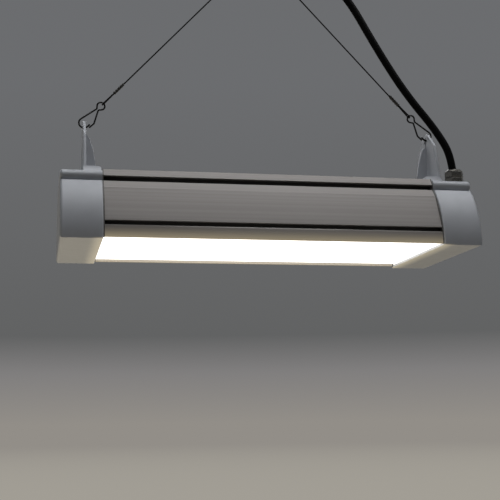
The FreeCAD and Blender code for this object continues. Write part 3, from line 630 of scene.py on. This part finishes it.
def round_edges(bm, edges, radius, segments):
    bmesh.ops.bevel(
        bm,
        geom=edges,
        offset=radius,
        segments=segments,
        profile=0.5,
        affect="EDGES",
        material=-1,
        clamp_overlap=True,
    )


def arch(sizes):
    """Centre and radius of the end caps' arched sides."""
    set_back = CAP_HIGH.y - sizes.shoulder_depth
    radius = (set_back**2 + sizes.shoulder_height**2) / (2 * set_back)
    return CAP_HIGH.y - radius, radius


def side(sizes, height, inset):
    """Half depth of the arched side at a height, a given inset inside the end caps."""
    centre, radius = arch(sizes)
    return centre + math.sqrt((radius - inset) ** 2 - height**2)


def flat_arc(start, end, bulge):
    """Step along a flat arc that stands out from its chord by the bulge: its end and its centre."""
    chord = Vector(end) - Vector(start)
    radius = chord.length_squared / (8 * bulge) + bulge / 2
    inward = Vector((-chord.y, chord.x)).normalized()
    centre = (Vector(start) + Vector(end)) / 2 + inward * (radius - bulge)
    return *end, *centre


def fin_steps(sizes, root, top):
    """Steps of the outline over the cooling fins, from the side to the middle."""
    edge = sizes.top_depth - sizes.lip_lean
    pitch = (2 * edge - sizes.fin_width) / sizes.fin_gaps
    steps = []
    for gap in range(sizes.fin_gaps // 2):
        far = edge - sizes.fin_width - gap * pitch
        near = far - pitch + sizes.fin_width
        steps += [(far, top), (far, root), (near, root), (near, top)]
    middle = (pitch - sizes.fin_width) / 2
    return steps + [(middle, top), (middle, root), (0.0, root)]


def profile_outline(sizes):
    """Right half of the profile's section: start and steps, up from the underside of the end caps."""
    centre = arch(sizes)[0]
    inset = sizes.inset
    wall = sizes.wall
    low_in = sizes.lower_groove
    low_out = low_in + sizes.lower_groove_height
    low_side = side(sizes, low_in, inset)
    low_back = low_side - sizes.lower_groove_depth
    high_in = sizes.upper_groove
    high_out = high_in + sizes.upper_groove_height
    high_back = sizes.top_depth - sizes.upper_groove_depth
    rim = side(sizes, inset, inset) - sizes.rim_width
    rim_top = inset + sizes.rim_height
    slot_top = rim_top + sizes.slot_height
    ledge_top = slot_top + sizes.slot_ledge
    side_foot = (side(sizes, low_out, inset), low_out)
    facet_foot = (side(sizes, sizes.facet_height, inset), sizes.facet_height)
    top = PROFILE_HIGH.z - BASE
    shelf = high_in - wall
    plate_top = low_out + sizes.plate
    lower_chamber = [
        (low_back - wall, low_out),
        (low_back - wall, low_in - wall),
        (low_side - wall, low_in - wall),
        (low_side - wall, ledge_top),
    ]
    slot_and_rim = [
        (rim - sizes.slot_depth, ledge_top),
        (rim - sizes.slot_depth, slot_top),
        (rim + sizes.slot_depth, slot_top),
        (rim + sizes.slot_depth, rim_top),
        (rim, rim_top),
        (rim, inset),
    ]
    outside = [
        (side(sizes, inset, inset), inset),
        (low_side, low_in, centre, 0.0),
        (low_back, low_in),
        (low_back, low_out),
        side_foot,
        flat_arc(side_foot, facet_foot, sizes.side_bulge),
        (sizes.facet_depth, high_in),
        (high_back, high_in),
        (high_back, high_out),
        (sizes.top_depth, high_out),
        (sizes.top_depth - sizes.lip_lean, top),
    ]
    fins = fin_steps(sizes, high_out + sizes.top_plate, top)
    upper_chamber = [
        (0.0, high_out),
        (high_back - wall, high_out),
        (high_back - wall, shelf),
        (side(sizes, shelf, inset + wall), shelf),
        (side(sizes, plate_top, inset + wall), plate_top, centre, 0.0),
        (0.0, plate_top),
    ]
    return (0.0, low_out), lower_chamber + slot_and_rim + outside + fins + upper_chamber


def on_lip(sizes, place):
    """Whether a corner of the profile's section is the outer edge just below one of the side grooves."""
    height = place.z - BASE
    lower = (side(sizes, sizes.lower_groove, sizes.inset), sizes.lower_groove)
    upper = (sizes.facet_depth, sizes.upper_groove)
    return any(math.dist((abs(place.y), height), corner) < sizes.edge_round for corner in (lower, upper))


def in_groove(sizes, place):
    """Whether a place on the profile's surface lies inside one of the side grooves."""
    height = place.z - BASE
    depth = abs(place.y)
    soft = 2 * sizes.edge_round
    lower_edge = side(sizes, sizes.lower_groove, sizes.inset)
    lower = 0.0 <= height - sizes.lower_groove <= sizes.lower_groove_height
    upper = 0.0 <= height - sizes.upper_groove <= sizes.upper_groove_height
    if lower:
        return lower_edge - sizes.lower_groove_depth <= depth < lower_edge - soft
    return upper and sizes.top_depth - sizes.upper_groove_depth <= depth < sizes.facet_depth - soft


def is_lengthwise(edge, sizes):
    """Whether an edge of the profile runs along it and is sharp enough to be softened."""
    start, end = edge.verts
    return abs(start.co.x - end.co.x) > sizes.wall and edge.calc_face_angle(0.0) > SHARP_EDGE


class TUNNEL_LIGHT_OT_profile(bpy.types.Operator):
    """Extruded profile with its grooves, fins, chambers and softened lengthwise edges, and painted shade
    inside its grooves
    """

    bl_idname = "tunnel_light.profile"
    bl_label = "Profile"

    def execute(self, context):
        sizes = context.scene.tunnel_light_profile
        tones = context.scene.tunnel_light_colours
        bm = bmesh.new()
        draw_outline(bm, *profile_outline(sizes))
        both_halves(bm)
        bmesh.ops.translate(bm, verts=bm.verts[:], vec=(PROFILE_LOW.x, 0.0, BASE))
        draw_out(bm, (PROFILE_HIGH.x - PROFILE_LOW.x, 0.0, 0.0))
        along = [edge for edge in bm.edges if is_lengthwise(edge, sizes)]
        lips = [edge for edge in along if on_lip(sizes, edge.verts[0].co)]
        others = [edge for edge in along if edge not in lips]
        round_edges(bm, lips, sizes.lip_round, WIDE_EDGE_SEGMENTS)
        round_edges(bm, others, sizes.edge_round, EDGE_SEGMENTS)
        # Faces inside the side grooves take the second finish, which is painted shade.
        for face in bm.faces:
            face.material_index = int(in_groove(sizes, face.calc_center_median()))
        piece = add_solid("profile", bm, drawn_aluminium(tones), "profile_aluminium", "housing_profile")
        piece.data.materials.append(groove_aluminium(tones))
        return {"FINISHED"}


class TUNNEL_LIGHT_OT_end_caps(bpy.types.Operator):
    """Finishes of the castings and their gaskets, of the gland's seals, and of the screws and the ring"""

    bl_idname = "tunnel_light.end_caps"
    bl_label = "End caps"

    def execute(self, context):
        tones = context.scene.tunnel_light_colours
        dress(silver_coat(tones), "end_cap_left", "end_cap_right")
        dress(bright_zinc(tones), "cap_screws_left", "cap_screws_right", "hanging_ring")
        dress(rubber("grey_rubber", tones.gasket), "end_gasket_left", "end_gasket_right")
        dress(rubber("black_rubber", tones.rubber), "gland_washer", "gland_seal")
        return {"FINISHED"}


def soft_block(low, high, radius):
    """Block between two corners, with softened edges."""
    bm = bmesh.new()
    bmesh.ops.create_cube(bm, size=1.0)
    bmesh.ops.scale(bm, verts=bm.verts[:], vec=high - low)
    bmesh.ops.translate(bm, verts=bm.verts[:], vec=(low + high) / 2)
    round_edges(bm, bm.edges[:], radius, EDGE_SEGMENTS)
    return bm


class TUNNEL_LIGHT_OT_diffuser(bpy.types.Operator):
    """Opal sheet in the profile's slots, lit from behind, and a stop in each end cap that closes its end"""

    bl_idname = "tunnel_light.diffuser"
    bl_label = "Diffuser"

    def execute(self, context):
        sizes = context.scene.tunnel_light_profile
        tones = context.scene.tunnel_light_colours
        soft = (SHEET_HIGH.z - SHEET_LOW.z) / 6
        sheet = soft_block(SHEET_LOW, SHEET_HIGH, soft)
        add_solid("opal_sheet", sheet, lit_opal(tones), "diffuser_opal", "diffuser")
        white = lit_stop(tones)
        reach = side(sizes, sizes.inset, sizes.inset) - sizes.rim_width
        for name, hand in HANDS.items():
            start, end = sorted((hand * CAP_LOW.x, hand * (CAP_LOW.x + sizes.stop_width)))
            low = Vector((start, -reach, BASE + sizes.cap_wall))
            stop = soft_block(low, Vector((end, reach, SHEET_HIGH.z)), soft)
            add_solid("stop_" + name, stop, white, "diffuser_opal")
        return {"FINISHED"}


def hexagon(sizes, low, high, radius):
    """Hexagonal prism about the gland's axis, with softened edges."""
    bm = bmesh.new()
    corner = sizes.flats / math.sqrt(3)
    ring = bmesh.ops.create_circle(bm, cap_ends=True, segments=6, radius=corner)["verts"]
    bmesh.ops.rotate(bm, verts=ring, matrix=Matrix.Rotation(math.radians(30.0), 3, "Z"))
    bmesh.ops.translate(bm, verts=ring, vec=(GLAND_MIDDLE.x, GLAND_MIDDLE.y, low))
    draw_out(bm, (0.0, 0.0, high - low))
    round_edges(bm, bm.edges[:], radius, WIDE_EDGE_SEGMENTS)
    return bm


def dome_outline(sizes, shoulder):
    """Section of the nut's turned top, as radii and heights."""
    outer = sizes.flats / 2
    lip = sizes.dome_top / 2
    bore = sizes.bore / 2
    soft = sizes.edge_round
    return [
        (outer - soft, shoulder - soft),
        (outer, shoulder),
        (outer - soft / 2, shoulder + soft),
        (lip + soft, GLAND_HIGH.z - soft),
        (lip, GLAND_HIGH.z),
        (bore + soft / 2, GLAND_HIGH.z),
        (bore, GLAND_HIGH.z - soft),
        (bore, shoulder - soft),
    ]


def add_turned(bm, outline):
    """Closed ring turned from an outline about the gland's axis."""
    x, y = GLAND_MIDDLE.xy
    corners = [bm.verts.new((x + radius, y, height)) for radius, height in outline]
    edges = [bm.edges.new(pair) for pair in zip(corners, corners[1:] + corners[:1])]
    bmesh.ops.spin(
        bm,
        geom=corners + edges,
        cent=(x, y, 0.0),
        axis=(0, 0, 1),
        angle=math.tau,
        steps=DOME_STEPS,
        use_merge=True,
    )
    bmesh.ops.recalc_face_normals(bm, faces=bm.faces[:])


class TUNNEL_LIGHT_OT_gland(bpy.types.Operator):
    """Plated cable gland: a hexagonal body, and a cap nut with a turned dome"""

    bl_idname = "tunnel_light.gland"
    bl_label = "Cable gland"

    def execute(self, context):
        sizes = context.scene.tunnel_light_gland
        material = nickel_plate(context.scene.tunnel_light_colours)
        soft = sizes.edge_round
        washer_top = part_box("gland_washer")[1].z
        body = hexagon(sizes, washer_top, GLAND_LOW.z - soft / 2, soft)
        add_solid("gland_hexagon", body, material, "gland_nickel", "gland_body")
        shoulder = GLAND_HIGH.z - sizes.dome_height
        nut = hexagon(sizes, GLAND_LOW.z, shoulder, 2 * soft)
        add_turned(nut, dome_outline(sizes, shoulder))
        add_solid("gland_cap_nut", nut, material, "gland_nickel", "gland_nut")
        return {"FINISHED"}


def route(name, points, steps):
    """Smooth curve with the given control points."""
    curve = bpy.data.curves.new(name, "CURVE")
    curve.dimensions = "3D"
    spline = curve.splines.new("NURBS")
    spline.points.add(len(points) - 1)
    for holder, point in zip(spline.points, points):
        holder.co = (*point, 1.0)
    spline.order_u = 3
    spline.use_endpoint_u = True
    spline.resolution_u = steps
    return curve


CABLE_POINTS = [
    (0.1980, -0.0430, -0.2700),
    (0.1980, -0.0430, -0.2340),
    (0.1845, -0.0350, -0.2015),
    (0.1530, -0.0290, -0.1595),
    (0.1260, -0.0210, -0.1100),
    (0.0910, -0.0130, -0.0400),
    (0.0520, -0.0085, -0.0130),
    (0.0188, -0.0062, 0.0048),
    (0.0018, -0.0062, 0.0137),
]


class TUNNEL_LIGHT_OT_cable(bpy.types.Operator):
    """Black supply cable from the gland up to the ring, with its stripped end and its tie"""

    bl_idname = "tunnel_light.cable"
    bl_label = "Supply cable"

    def execute(self, context):
        sizes = context.scene.tunnel_light_cords
        tones = context.scene.tunnel_light_colours
        curve = route("supply_cable", CABLE_POINTS, CABLE_STEPS)
        curve.bevel_depth = sizes.cable_diameter / 2
        curve.bevel_resolution = CABLE_ROUND_STEPS
        curve.use_fill_caps = True
        cable = add_piece("supply_cable", curve, cable_sheath(tones), "cable_black", "power_cable")
        dress(insulation("brown_insulation", tones.live), "lead_core_live")
        dress(insulation("blue_insulation", tones.neutral), "lead_core_neutral")
        dress(earth_insulation(tones), "lead_core_earth")
        dress(bare_copper(tones), "core_strands")
        dress(black_nylon(tones), "cable_tie")
        return {"FINISHED"}


# A wire's points, from its hook to the ring: how far along its pull, and in y
WIRE_POINTS = [
    (0.06000, -0.0007),
    (0.04480, -0.0007),
    (0.03020, -0.0020),
    (0.02725, -0.00175),
    (0.02725, 0.00175),
    (0.03020, 0.0020),
    (0.04480, 0.0007),
    (0.05200, 0.0007),
    (0.23400, 0.0007),
    (0.24144, 0.0007),
    (0.25650, 0.0029),
    (0.25995, 0.0026),
    (0.25995, -0.0026),
    (0.25650, -0.0029),
    (0.24144, -0.0007),
    (0.22624, -0.0007),
]

# Where a wire's sleeves start, along its pull
SLEEVE_FEET = {"lower": 0.0448, "upper": 0.22744}

# Shares of a wire's radius, on its outer strands and between them
STRAND_CROWN = 1.04
STRAND_VALLEY = 0.9

# Shares of a sleeve's band: the end of its full width, and both ends of its squeezed flat
BAND_FULL = 0.25
BAND_FLAT = (0.4, 0.85)


def wire_line(sizes, hand):
    """Bend of the hook at one wire's lower end, and the direction in which the wire pulls it."""
    hook = Vector((hand * sizes.hook_reach, 0.0, -sizes.hook_drop))
    return hook, -hook.normalized()


def strand_section(sizes):
    """Section of a wire: its outer strands as lobes round the core."""
    curve = bpy.data.curves.new("strand_section", "CURVE")
    curve.dimensions = "2D"
    spline = curve.splines.new("POLY")
    corners = 2 * sizes.wire_strands
    spline.points.add(corners - 1)
    for index, holder in enumerate(spline.points):
        turn = math.tau * index / corners
        radius = sizes.wire_diameter / 2 * (STRAND_CROWN if index % 2 else STRAND_VALLEY)
        holder.co = (radius * math.cos(turn), radius * math.sin(turn), 0.0, 1.0)
    spline.use_cyclic_u = True
    return bpy.data.objects.new("strand_section", curve)


def line_of(curve):
    """Points along a route's own smooth line."""
    holder = bpy.data.objects.new("line", curve)
    mesh = bpy.data.meshes.new_from_object(holder)
    points = [vertex.co.copy() for vertex in mesh.vertices]
    bpy.data.objects.remove(holder)
    bpy.data.meshes.remove(mesh)
    return points


def laid_wire(name, points, sizes):
    """Mesh of a wire whose strands turn about its line, and the points of that line."""
    curve = route(name, points, WIRE_STEPS)
    stations = curve.splines[0].points
    walked = 0.0
    for before, station in zip(stations, stations[1:]):
        walked += (station.co - before.co).length
        station.tilt = math.tau * walked / sizes.wire_lay
    line = line_of(curve)
    section = strand_section(sizes)
    curve.bevel_mode = "OBJECT"
    curve.bevel_object = section
    curve.use_fill_caps = True
    holder = bpy.data.objects.new(name + "_route", curve)
    for helper in (section, holder):
        bpy.context.scene.collection.objects.link(helper)
    shaped = holder.evaluated_get(bpy.context.evaluated_depsgraph_get())
    tube = bpy.data.meshes.new_from_object(shaped)
    for helper in (holder, section):
        bpy.data.objects.remove(helper)
    bm = bmesh.new()
    bm.from_mesh(tube)
    bmesh.ops.recalc_face_normals(bm, faces=bm.faces[:])
    bpy.data.meshes.remove(tube)
    return mesh_from(bm, name), line


def sleeve_stations(sizes):
    """Places along a sleeve and its width there: softened ends, and a squeezed flat in each band."""
    squeeze = sizes.sleeve_squeeze
    soft = sizes.sleeve_length / 40
    pitch = (sizes.sleeve_length - 2 * soft) / sizes.sleeve_bands
    stations = [(0.0, squeeze)]
    for band in range(sizes.sleeve_bands):
        start = soft + band * pitch
        stations += [(start, 1.0), (start + BAND_FULL * pitch, 1.0)]
        stations += [(start + share * pitch, squeeze) for share in BAND_FLAT]
    return stations + [(sizes.sleeve_length - soft, 1.0), (sizes.sleeve_length, squeeze)]


def pressed_sleeve(foot, pull, sizes):
    """Oval sleeve round the two runs of a wire, squeezed in bands by the pressing tool."""
    bm = bmesh.new()
    radius = sizes.sleeve_radius
    off_middle = radius / 100
    ring = bmesh.ops.create_circle(bm, cap_ends=True, segments=SLEEVE_STEPS, radius=radius)["verts"]
    for half in (-1, 1):
        lobe = [vertex for vertex in ring if vertex.co.y * half > off_middle]
        bmesh.ops.translate(bm, verts=lobe, vec=(0.0, half * sizes.strand_spacing / 2, 0.0))
    end = bm.faces[:]
    stations = sleeve_stations(sizes)
    bmesh.ops.scale(bm, verts=ring, vec=(stations[0][1], stations[0][1], 1.0))
    for (before, narrow), (after, wide) in zip(stations, stations[1:]):
        end = bmesh.ops.extrude_discrete_faces(bm, faces=end)["faces"]
        rim = end[0].verts[:]
        bmesh.ops.translate(bm, verts=rim, vec=(0.0, 0.0, after - before))
        bmesh.ops.scale(bm, verts=rim, vec=(wide / narrow, wide / narrow, 1.0))
    bmesh.ops.holes_fill(bm, edges=[edge for edge in bm.edges if edge.is_boundary], sides=0)
    bmesh.ops.recalc_face_normals(bm, faces=bm.faces[:])
    across = Vector((0.0, 1.0, 0.0))
    turn = Matrix((across.cross(pull), across, pull)).transposed()
    bmesh.ops.transform(bm, verts=bm.verts[:], matrix=Matrix.Translation(foot) @ turn.to_4x4())
    return bm


class TUNNEL_LIGHT_OT_suspension(bpy.types.Operator):
    """Stranded wires with their pressed sleeves, and the snap hooks at their lower ends"""

    bl_idname = "tunnel_light.suspension"
    bl_label = "Suspension"

    def execute(self, context):
        sizes = context.scene.tunnel_light_cords
        tones = context.scene.tunnel_light_colours
        steel = rope_steel(tones)
        pressed = pressed_aluminium(tones)
        for name, hand in HANDS.items():
            hook, pull = wire_line(sizes, hand)
            points = [hook + pull * along + Vector((0.0, depth, 0.0)) for along, depth in WIRE_POINTS]
            mesh, line = laid_wire("wire_" + name, points, sizes)
            wire = add_piece("wire_" + name, mesh, steel, "wire_rope", "suspension_wire_" + name)
            for level, along in SLEEVE_FEET.items():
                sleeve = pressed_sleeve(hook + pull * along, pull, sizes)
                label = f"{level}_sleeve_{name}"
                add_solid(label, sleeve, pressed, "ferrule_aluminium", f"{level}_ferrule_{name}")
        dress(spring_steel(tones), "snap_hook_left", "snap_hook_right")
        return {"FINISHED"}


class TUNNEL_LIGHT_OT_light_engine(bpy.types.Operator):
    """Finishes of the boards, the driver and its wiring inside the profile"""

    bl_idname = "tunnel_light.light_engine"
    bl_label = "Light engine"

    def execute(self, context):
        tones = context.scene.tunnel_light_colours
        white = moulded("white_board", tones.board, roughness=0.45)
        dress(white, "led_board_front", "led_board_middle", "led_board_rear")
        dress(moulded("phosphor", tones.phosphor, roughness=0.35), "led_chips")
        dress(moulded("terminal_plastic", tones.terminal, roughness=0.5), "terminal_block")
        dress(sheet_metal(tones), "led_driver")
        dress(finish_of("cap_screws_left"), "board_screws", "driver_screws")
        dress(finish_of("lead_core_live"), "supply_core_live", "driver_lead_live")
        dress(finish_of("lead_core_neutral"), "supply_core_neutral", "driver_lead_neutral")
        dress(finish_of("lead_core_earth"), "supply_core_earth")
        return {"FINISHED"}


def camera_axes(setup):
    """Right, up and ahead of the camera, from its yaw, pitch and roll."""
    yaw, pitch, roll = setup.camera_yaw, setup.camera_pitch, setup.camera_roll
    ahead = Vector((math.sin(yaw) * math.cos(pitch), math.cos(yaw) * math.cos(pitch), math.sin(pitch)))
    right = Vector((math.cos(yaw), -math.sin(yaw), 0.0))
    up = right.cross(ahead)
    leaned = right * math.cos(roll) + up * math.sin(roll)
    return leaned, up * math.cos(roll) - right * math.sin(roll), ahead


def add_camera(setup):
    data = bpy.data.cameras.new("camera")
    data.sensor_width = 36.0
    data.lens = setup.camera_lens
    right, up, ahead = camera_axes(setup)
    camera = bpy.data.objects.new("camera", data)
    turn = Matrix((right, up, -ahead)).transposed()
    camera.matrix_world = Matrix.Translation(setup.camera_place) @ turn.to_4x4()
    bpy.context.scene.collection.objects.link(camera)
    bpy.context.scene.camera = camera


# The soft lights' sizes, where they stand and what they shine at
LAMPS = {
    "ceiling": {"size": (1.2, 0.4), "place": (0.08, -0.17, 0.45), "target": (0.08, 0.0, BASE)},
    "bounce": {"size": (0.7, 0.4), "place": (-0.42, -0.05, BASE - 0.85), "target": (-0.42, 0.0, BASE)},
    "back": {"size": (1.2, 0.4), "place": (0.0, 0.75, 0.25), "target": (0.0, 0.0, BASE)},
    "left": {"size": (0.3, 0.6), "place": (-1.1, 0.1, BASE + 0.2), "target": (0.0, 0.0, BASE)},
    "right": {"size": (0.3, 0.6), "place": (1.1, 0.1, BASE + 0.2), "target": (0.0, 0.0, BASE)},
}


def add_soft_light(name, power, size, place, target):
    data = bpy.data.lights.new(name, "AREA")
    data.shape = "RECTANGLE"
    data.size, data.size_y = size
    data.energy = power
    light = bpy.data.objects.new(name, data)
    light.visible_camera = False
    light.location = place
    light.rotation_euler = (Vector(target) - Vector(place)).to_track_quat("-Z", "Y").to_euler()
    bpy.context.scene.collection.objects.link(light)


def seen_directly(tree):
    """1 where a ray comes from the camera, from a gloss or through something clear, and 0 elsewhere."""
    path = tree.nodes.new("ShaderNodeLightPath").outputs
    glossy = work_out(tree, "MAXIMUM", path["Is Camera Ray"], path["Is Glossy Ray"])
    return work_out(tree, "MAXIMUM", glossy.outputs[0], path["Is Transmission Ray"])


def blend_shaders(tree, share, first, second):
    """Mix of two shaders: the share of the second one comes from a node."""
    mixed = tree.nodes.new("ShaderNodeMixShader")
    for socket, source in zip(mixed.inputs, (share, first, second)):
        tree.links.new(source.outputs[0], socket)
    return mixed


def farther_than(finish, away, near, far):
    """0 up to a distance from the lamp, and 1 beyond a larger one."""
    fade = finish.add("ShaderNodeMapRange", From_Min=near, From_Max=far)
    fade.interpolation_type = "SMOOTHSTEP"
    finish.tree.links.new(away.outputs["Value"], fade.inputs["Value"])
    return fade


def fade_into_room(finish, setup):
    """Let the floor turn into an even tone away from the lamp, and far off into the room's foot."""
    away = finish.add("ShaderNodeVectorMath")
    away.operation = "LENGTH"
    finish.join(finish.place(stretch=(1.0, 1.0, 0.0)), away, 0)
    seen = seen_directly(finish.tree)
    finish.shine(setup.floor_lift, seen)
    even = finish.add("ShaderNodeEmission", Color=(*setup.floor_even, 1.0))
    foot = finish.add("ShaderNodeEmission", Color=(*setup.horizon_tone, 1.0))
    hazy = farther_than(finish, away, setup.haze_near, setup.haze_far)
    haze = blend_shaders(finish.tree, hazy, even, foot)
    beyond = finish.overlap(farther_than(finish, away, setup.floor_near, setup.floor_far), seen)
    mixed = blend_shaders(finish.tree, beyond, finish.shader, haze)
    finish.join(mixed, finish.tree.nodes["Material Output"], "Surface")


def add_floor(setup):
    """Wide pale floor under the lamp."""
    finish = Finish("pale_floor", setup.floor_tone, roughness=0.8)
    finish.mottle(scale=2.0, dark=0.98, light=1.02, detail=4.0)
    fade_into_room(finish, setup)
    bm = bmesh.new()
    bmesh.ops.create_grid(bm, x_segments=1, y_segments=1, size=setup.floor_size / 2)
    bmesh.ops.translate(bm, verts=bm.verts[:], vec=(0.0, 0.0, BASE - setup.floor_drop))
    mesh = mesh_from(bm, "floor")
    mesh.materials.append(finish.material)
    floor = bpy.data.objects.new("floor", mesh)
    bpy.context.scene.collection.objects.link(floor)


def room_stops(setup):
    """Tones of the room from the horizon up, each with the sine of the angle at which it lies."""
    return (
        (0.0, setup.horizon_tone),
        (0.045, setup.lit_tone),
        (0.078, setup.dim_tone),
        (0.3, setup.room_tone),
    )


def tones_by_rise(tree, stops):
    """Colour by how steeply one looks up."""
    here = tree.nodes.new("ShaderNodeTexCoord")
    parts = tree.nodes.new("ShaderNodeSeparateXYZ")
    tree.links.new(here.outputs["Generated"], parts.inputs["Vector"])
    ramp = tree.nodes.new("ShaderNodeValToRGB")
    tree.links.new(parts.outputs["Z"], ramp.inputs["Fac"])
    elements = ramp.color_ramp.elements
    while len(elements) < len(stops):
        elements.new(1.0)
    for element, (rise, tone) in zip(elements, stops):
        element.position = rise
        element.color = (*tone, 1.0)
    return ramp.outputs["Color"]


def light_room(setup):
    """Even light from the room, and the tones in which the room itself is seen."""
    world = bpy.data.worlds.new("room")
    world.use_nodes = True
    tree = world.node_tree
    even = tree.nodes["Background"]
    even.inputs["Color"].default_value = (1.0, 1.0, 1.0, 1.0)
    even.inputs["Strength"].default_value = setup.room_light
    shown = tree.nodes.new("ShaderNodeBackground")
    tree.links.new(tones_by_rise(tree, room_stops(setup)), shown.inputs["Color"])
    mixed = blend_shaders(tree, seen_directly(tree), even, shown)
    tree.links.new(mixed.outputs[0], tree.nodes["World Output"].inputs["Surface"])
    bpy.context.scene.world = world


class TUNNEL_LIGHT_OT_stage(bpy.types.Operator):
    """Camera, pale floor, even room light and soft lamps above, below, behind and at both ends"""

    bl_idname = "tunnel_light.stage"
    bl_label = "Stage"

    def execute(self, context):
        setup = context.scene.tunnel_light_stage
        context.scene.view_settings.view_transform = "Standard"
        add_camera(setup)
        add_floor(setup)
        light_room(setup)
        for name, lamp in LAMPS.items():
            add_soft_light(name, getattr(setup, name + "_light"), **lamp)
        bpy.data.lights["bounce"].color = setup.bounce_tint
        return {"FINISHED"}


OPERATORS = (
    TUNNEL_LIGHT_OT_cable,
    TUNNEL_LIGHT_OT_suspension,
    TUNNEL_LIGHT_OT_profile,
    TUNNEL_LIGHT_OT_end_caps,
    TUNNEL_LIGHT_OT_diffuser,
    TUNNEL_LIGHT_OT_gland,
    TUNNEL_LIGHT_OT_light_engine,
    TUNNEL_LIGHT_OT_stage,
)


class TUNNEL_LIGHT_PT_panel(bpy.types.Panel):
    """The pieces of the light, in the order in which they are made"""

    bl_idname = "TUNNEL_LIGHT_PT_panel"
    bl_label = "Tunnel light"
    bl_space_type = "VIEW_3D"
    bl_region_type = "UI"
    bl_category = "Tunnel light"

    def draw(self, context):
        for operator in OPERATORS:
            self.layout.operator(operator.bl_idname)


GROUPS = {
    "tunnel_light_profile": TunnelLightProfile,
    "tunnel_light_gland": TunnelLightGland,
    "tunnel_light_cords": TunnelLightCords,
    "tunnel_light_colours": TunnelLightColours,
    "tunnel_light_stage": TunnelLightStage,
}


def register():
    for name, group in GROUPS.items():
        bpy.utils.register_class(group)
        setattr(bpy.types.Scene, name, PointerProperty(type=group))
    for operator in OPERATORS:
        bpy.utils.register_class(operator)
    bpy.utils.register_class(TUNNEL_LIGHT_PT_panel)


def unregister():
    bpy.utils.unregister_class(TUNNEL_LIGHT_PT_panel)
    for operator in reversed(OPERATORS):
        bpy.utils.unregister_class(operator)
    for name, group in reversed(GROUPS.items()):
        delattr(bpy.types.Scene, name)
        bpy.utils.unregister_class(group)


def main():
    """Build the light."""
    register()
    bpy.ops.tunnel_light.cable()
    bpy.ops.tunnel_light.suspension()
    bpy.ops.tunnel_light.profile()
    bpy.ops.tunnel_light.end_caps()
    bpy.ops.tunnel_light.diffuser()
    bpy.ops.tunnel_light.gland()
    bpy.ops.tunnel_light.light_engine()
    bpy.ops.tunnel_light.stage()


if __name__ == "__main__":
    main()
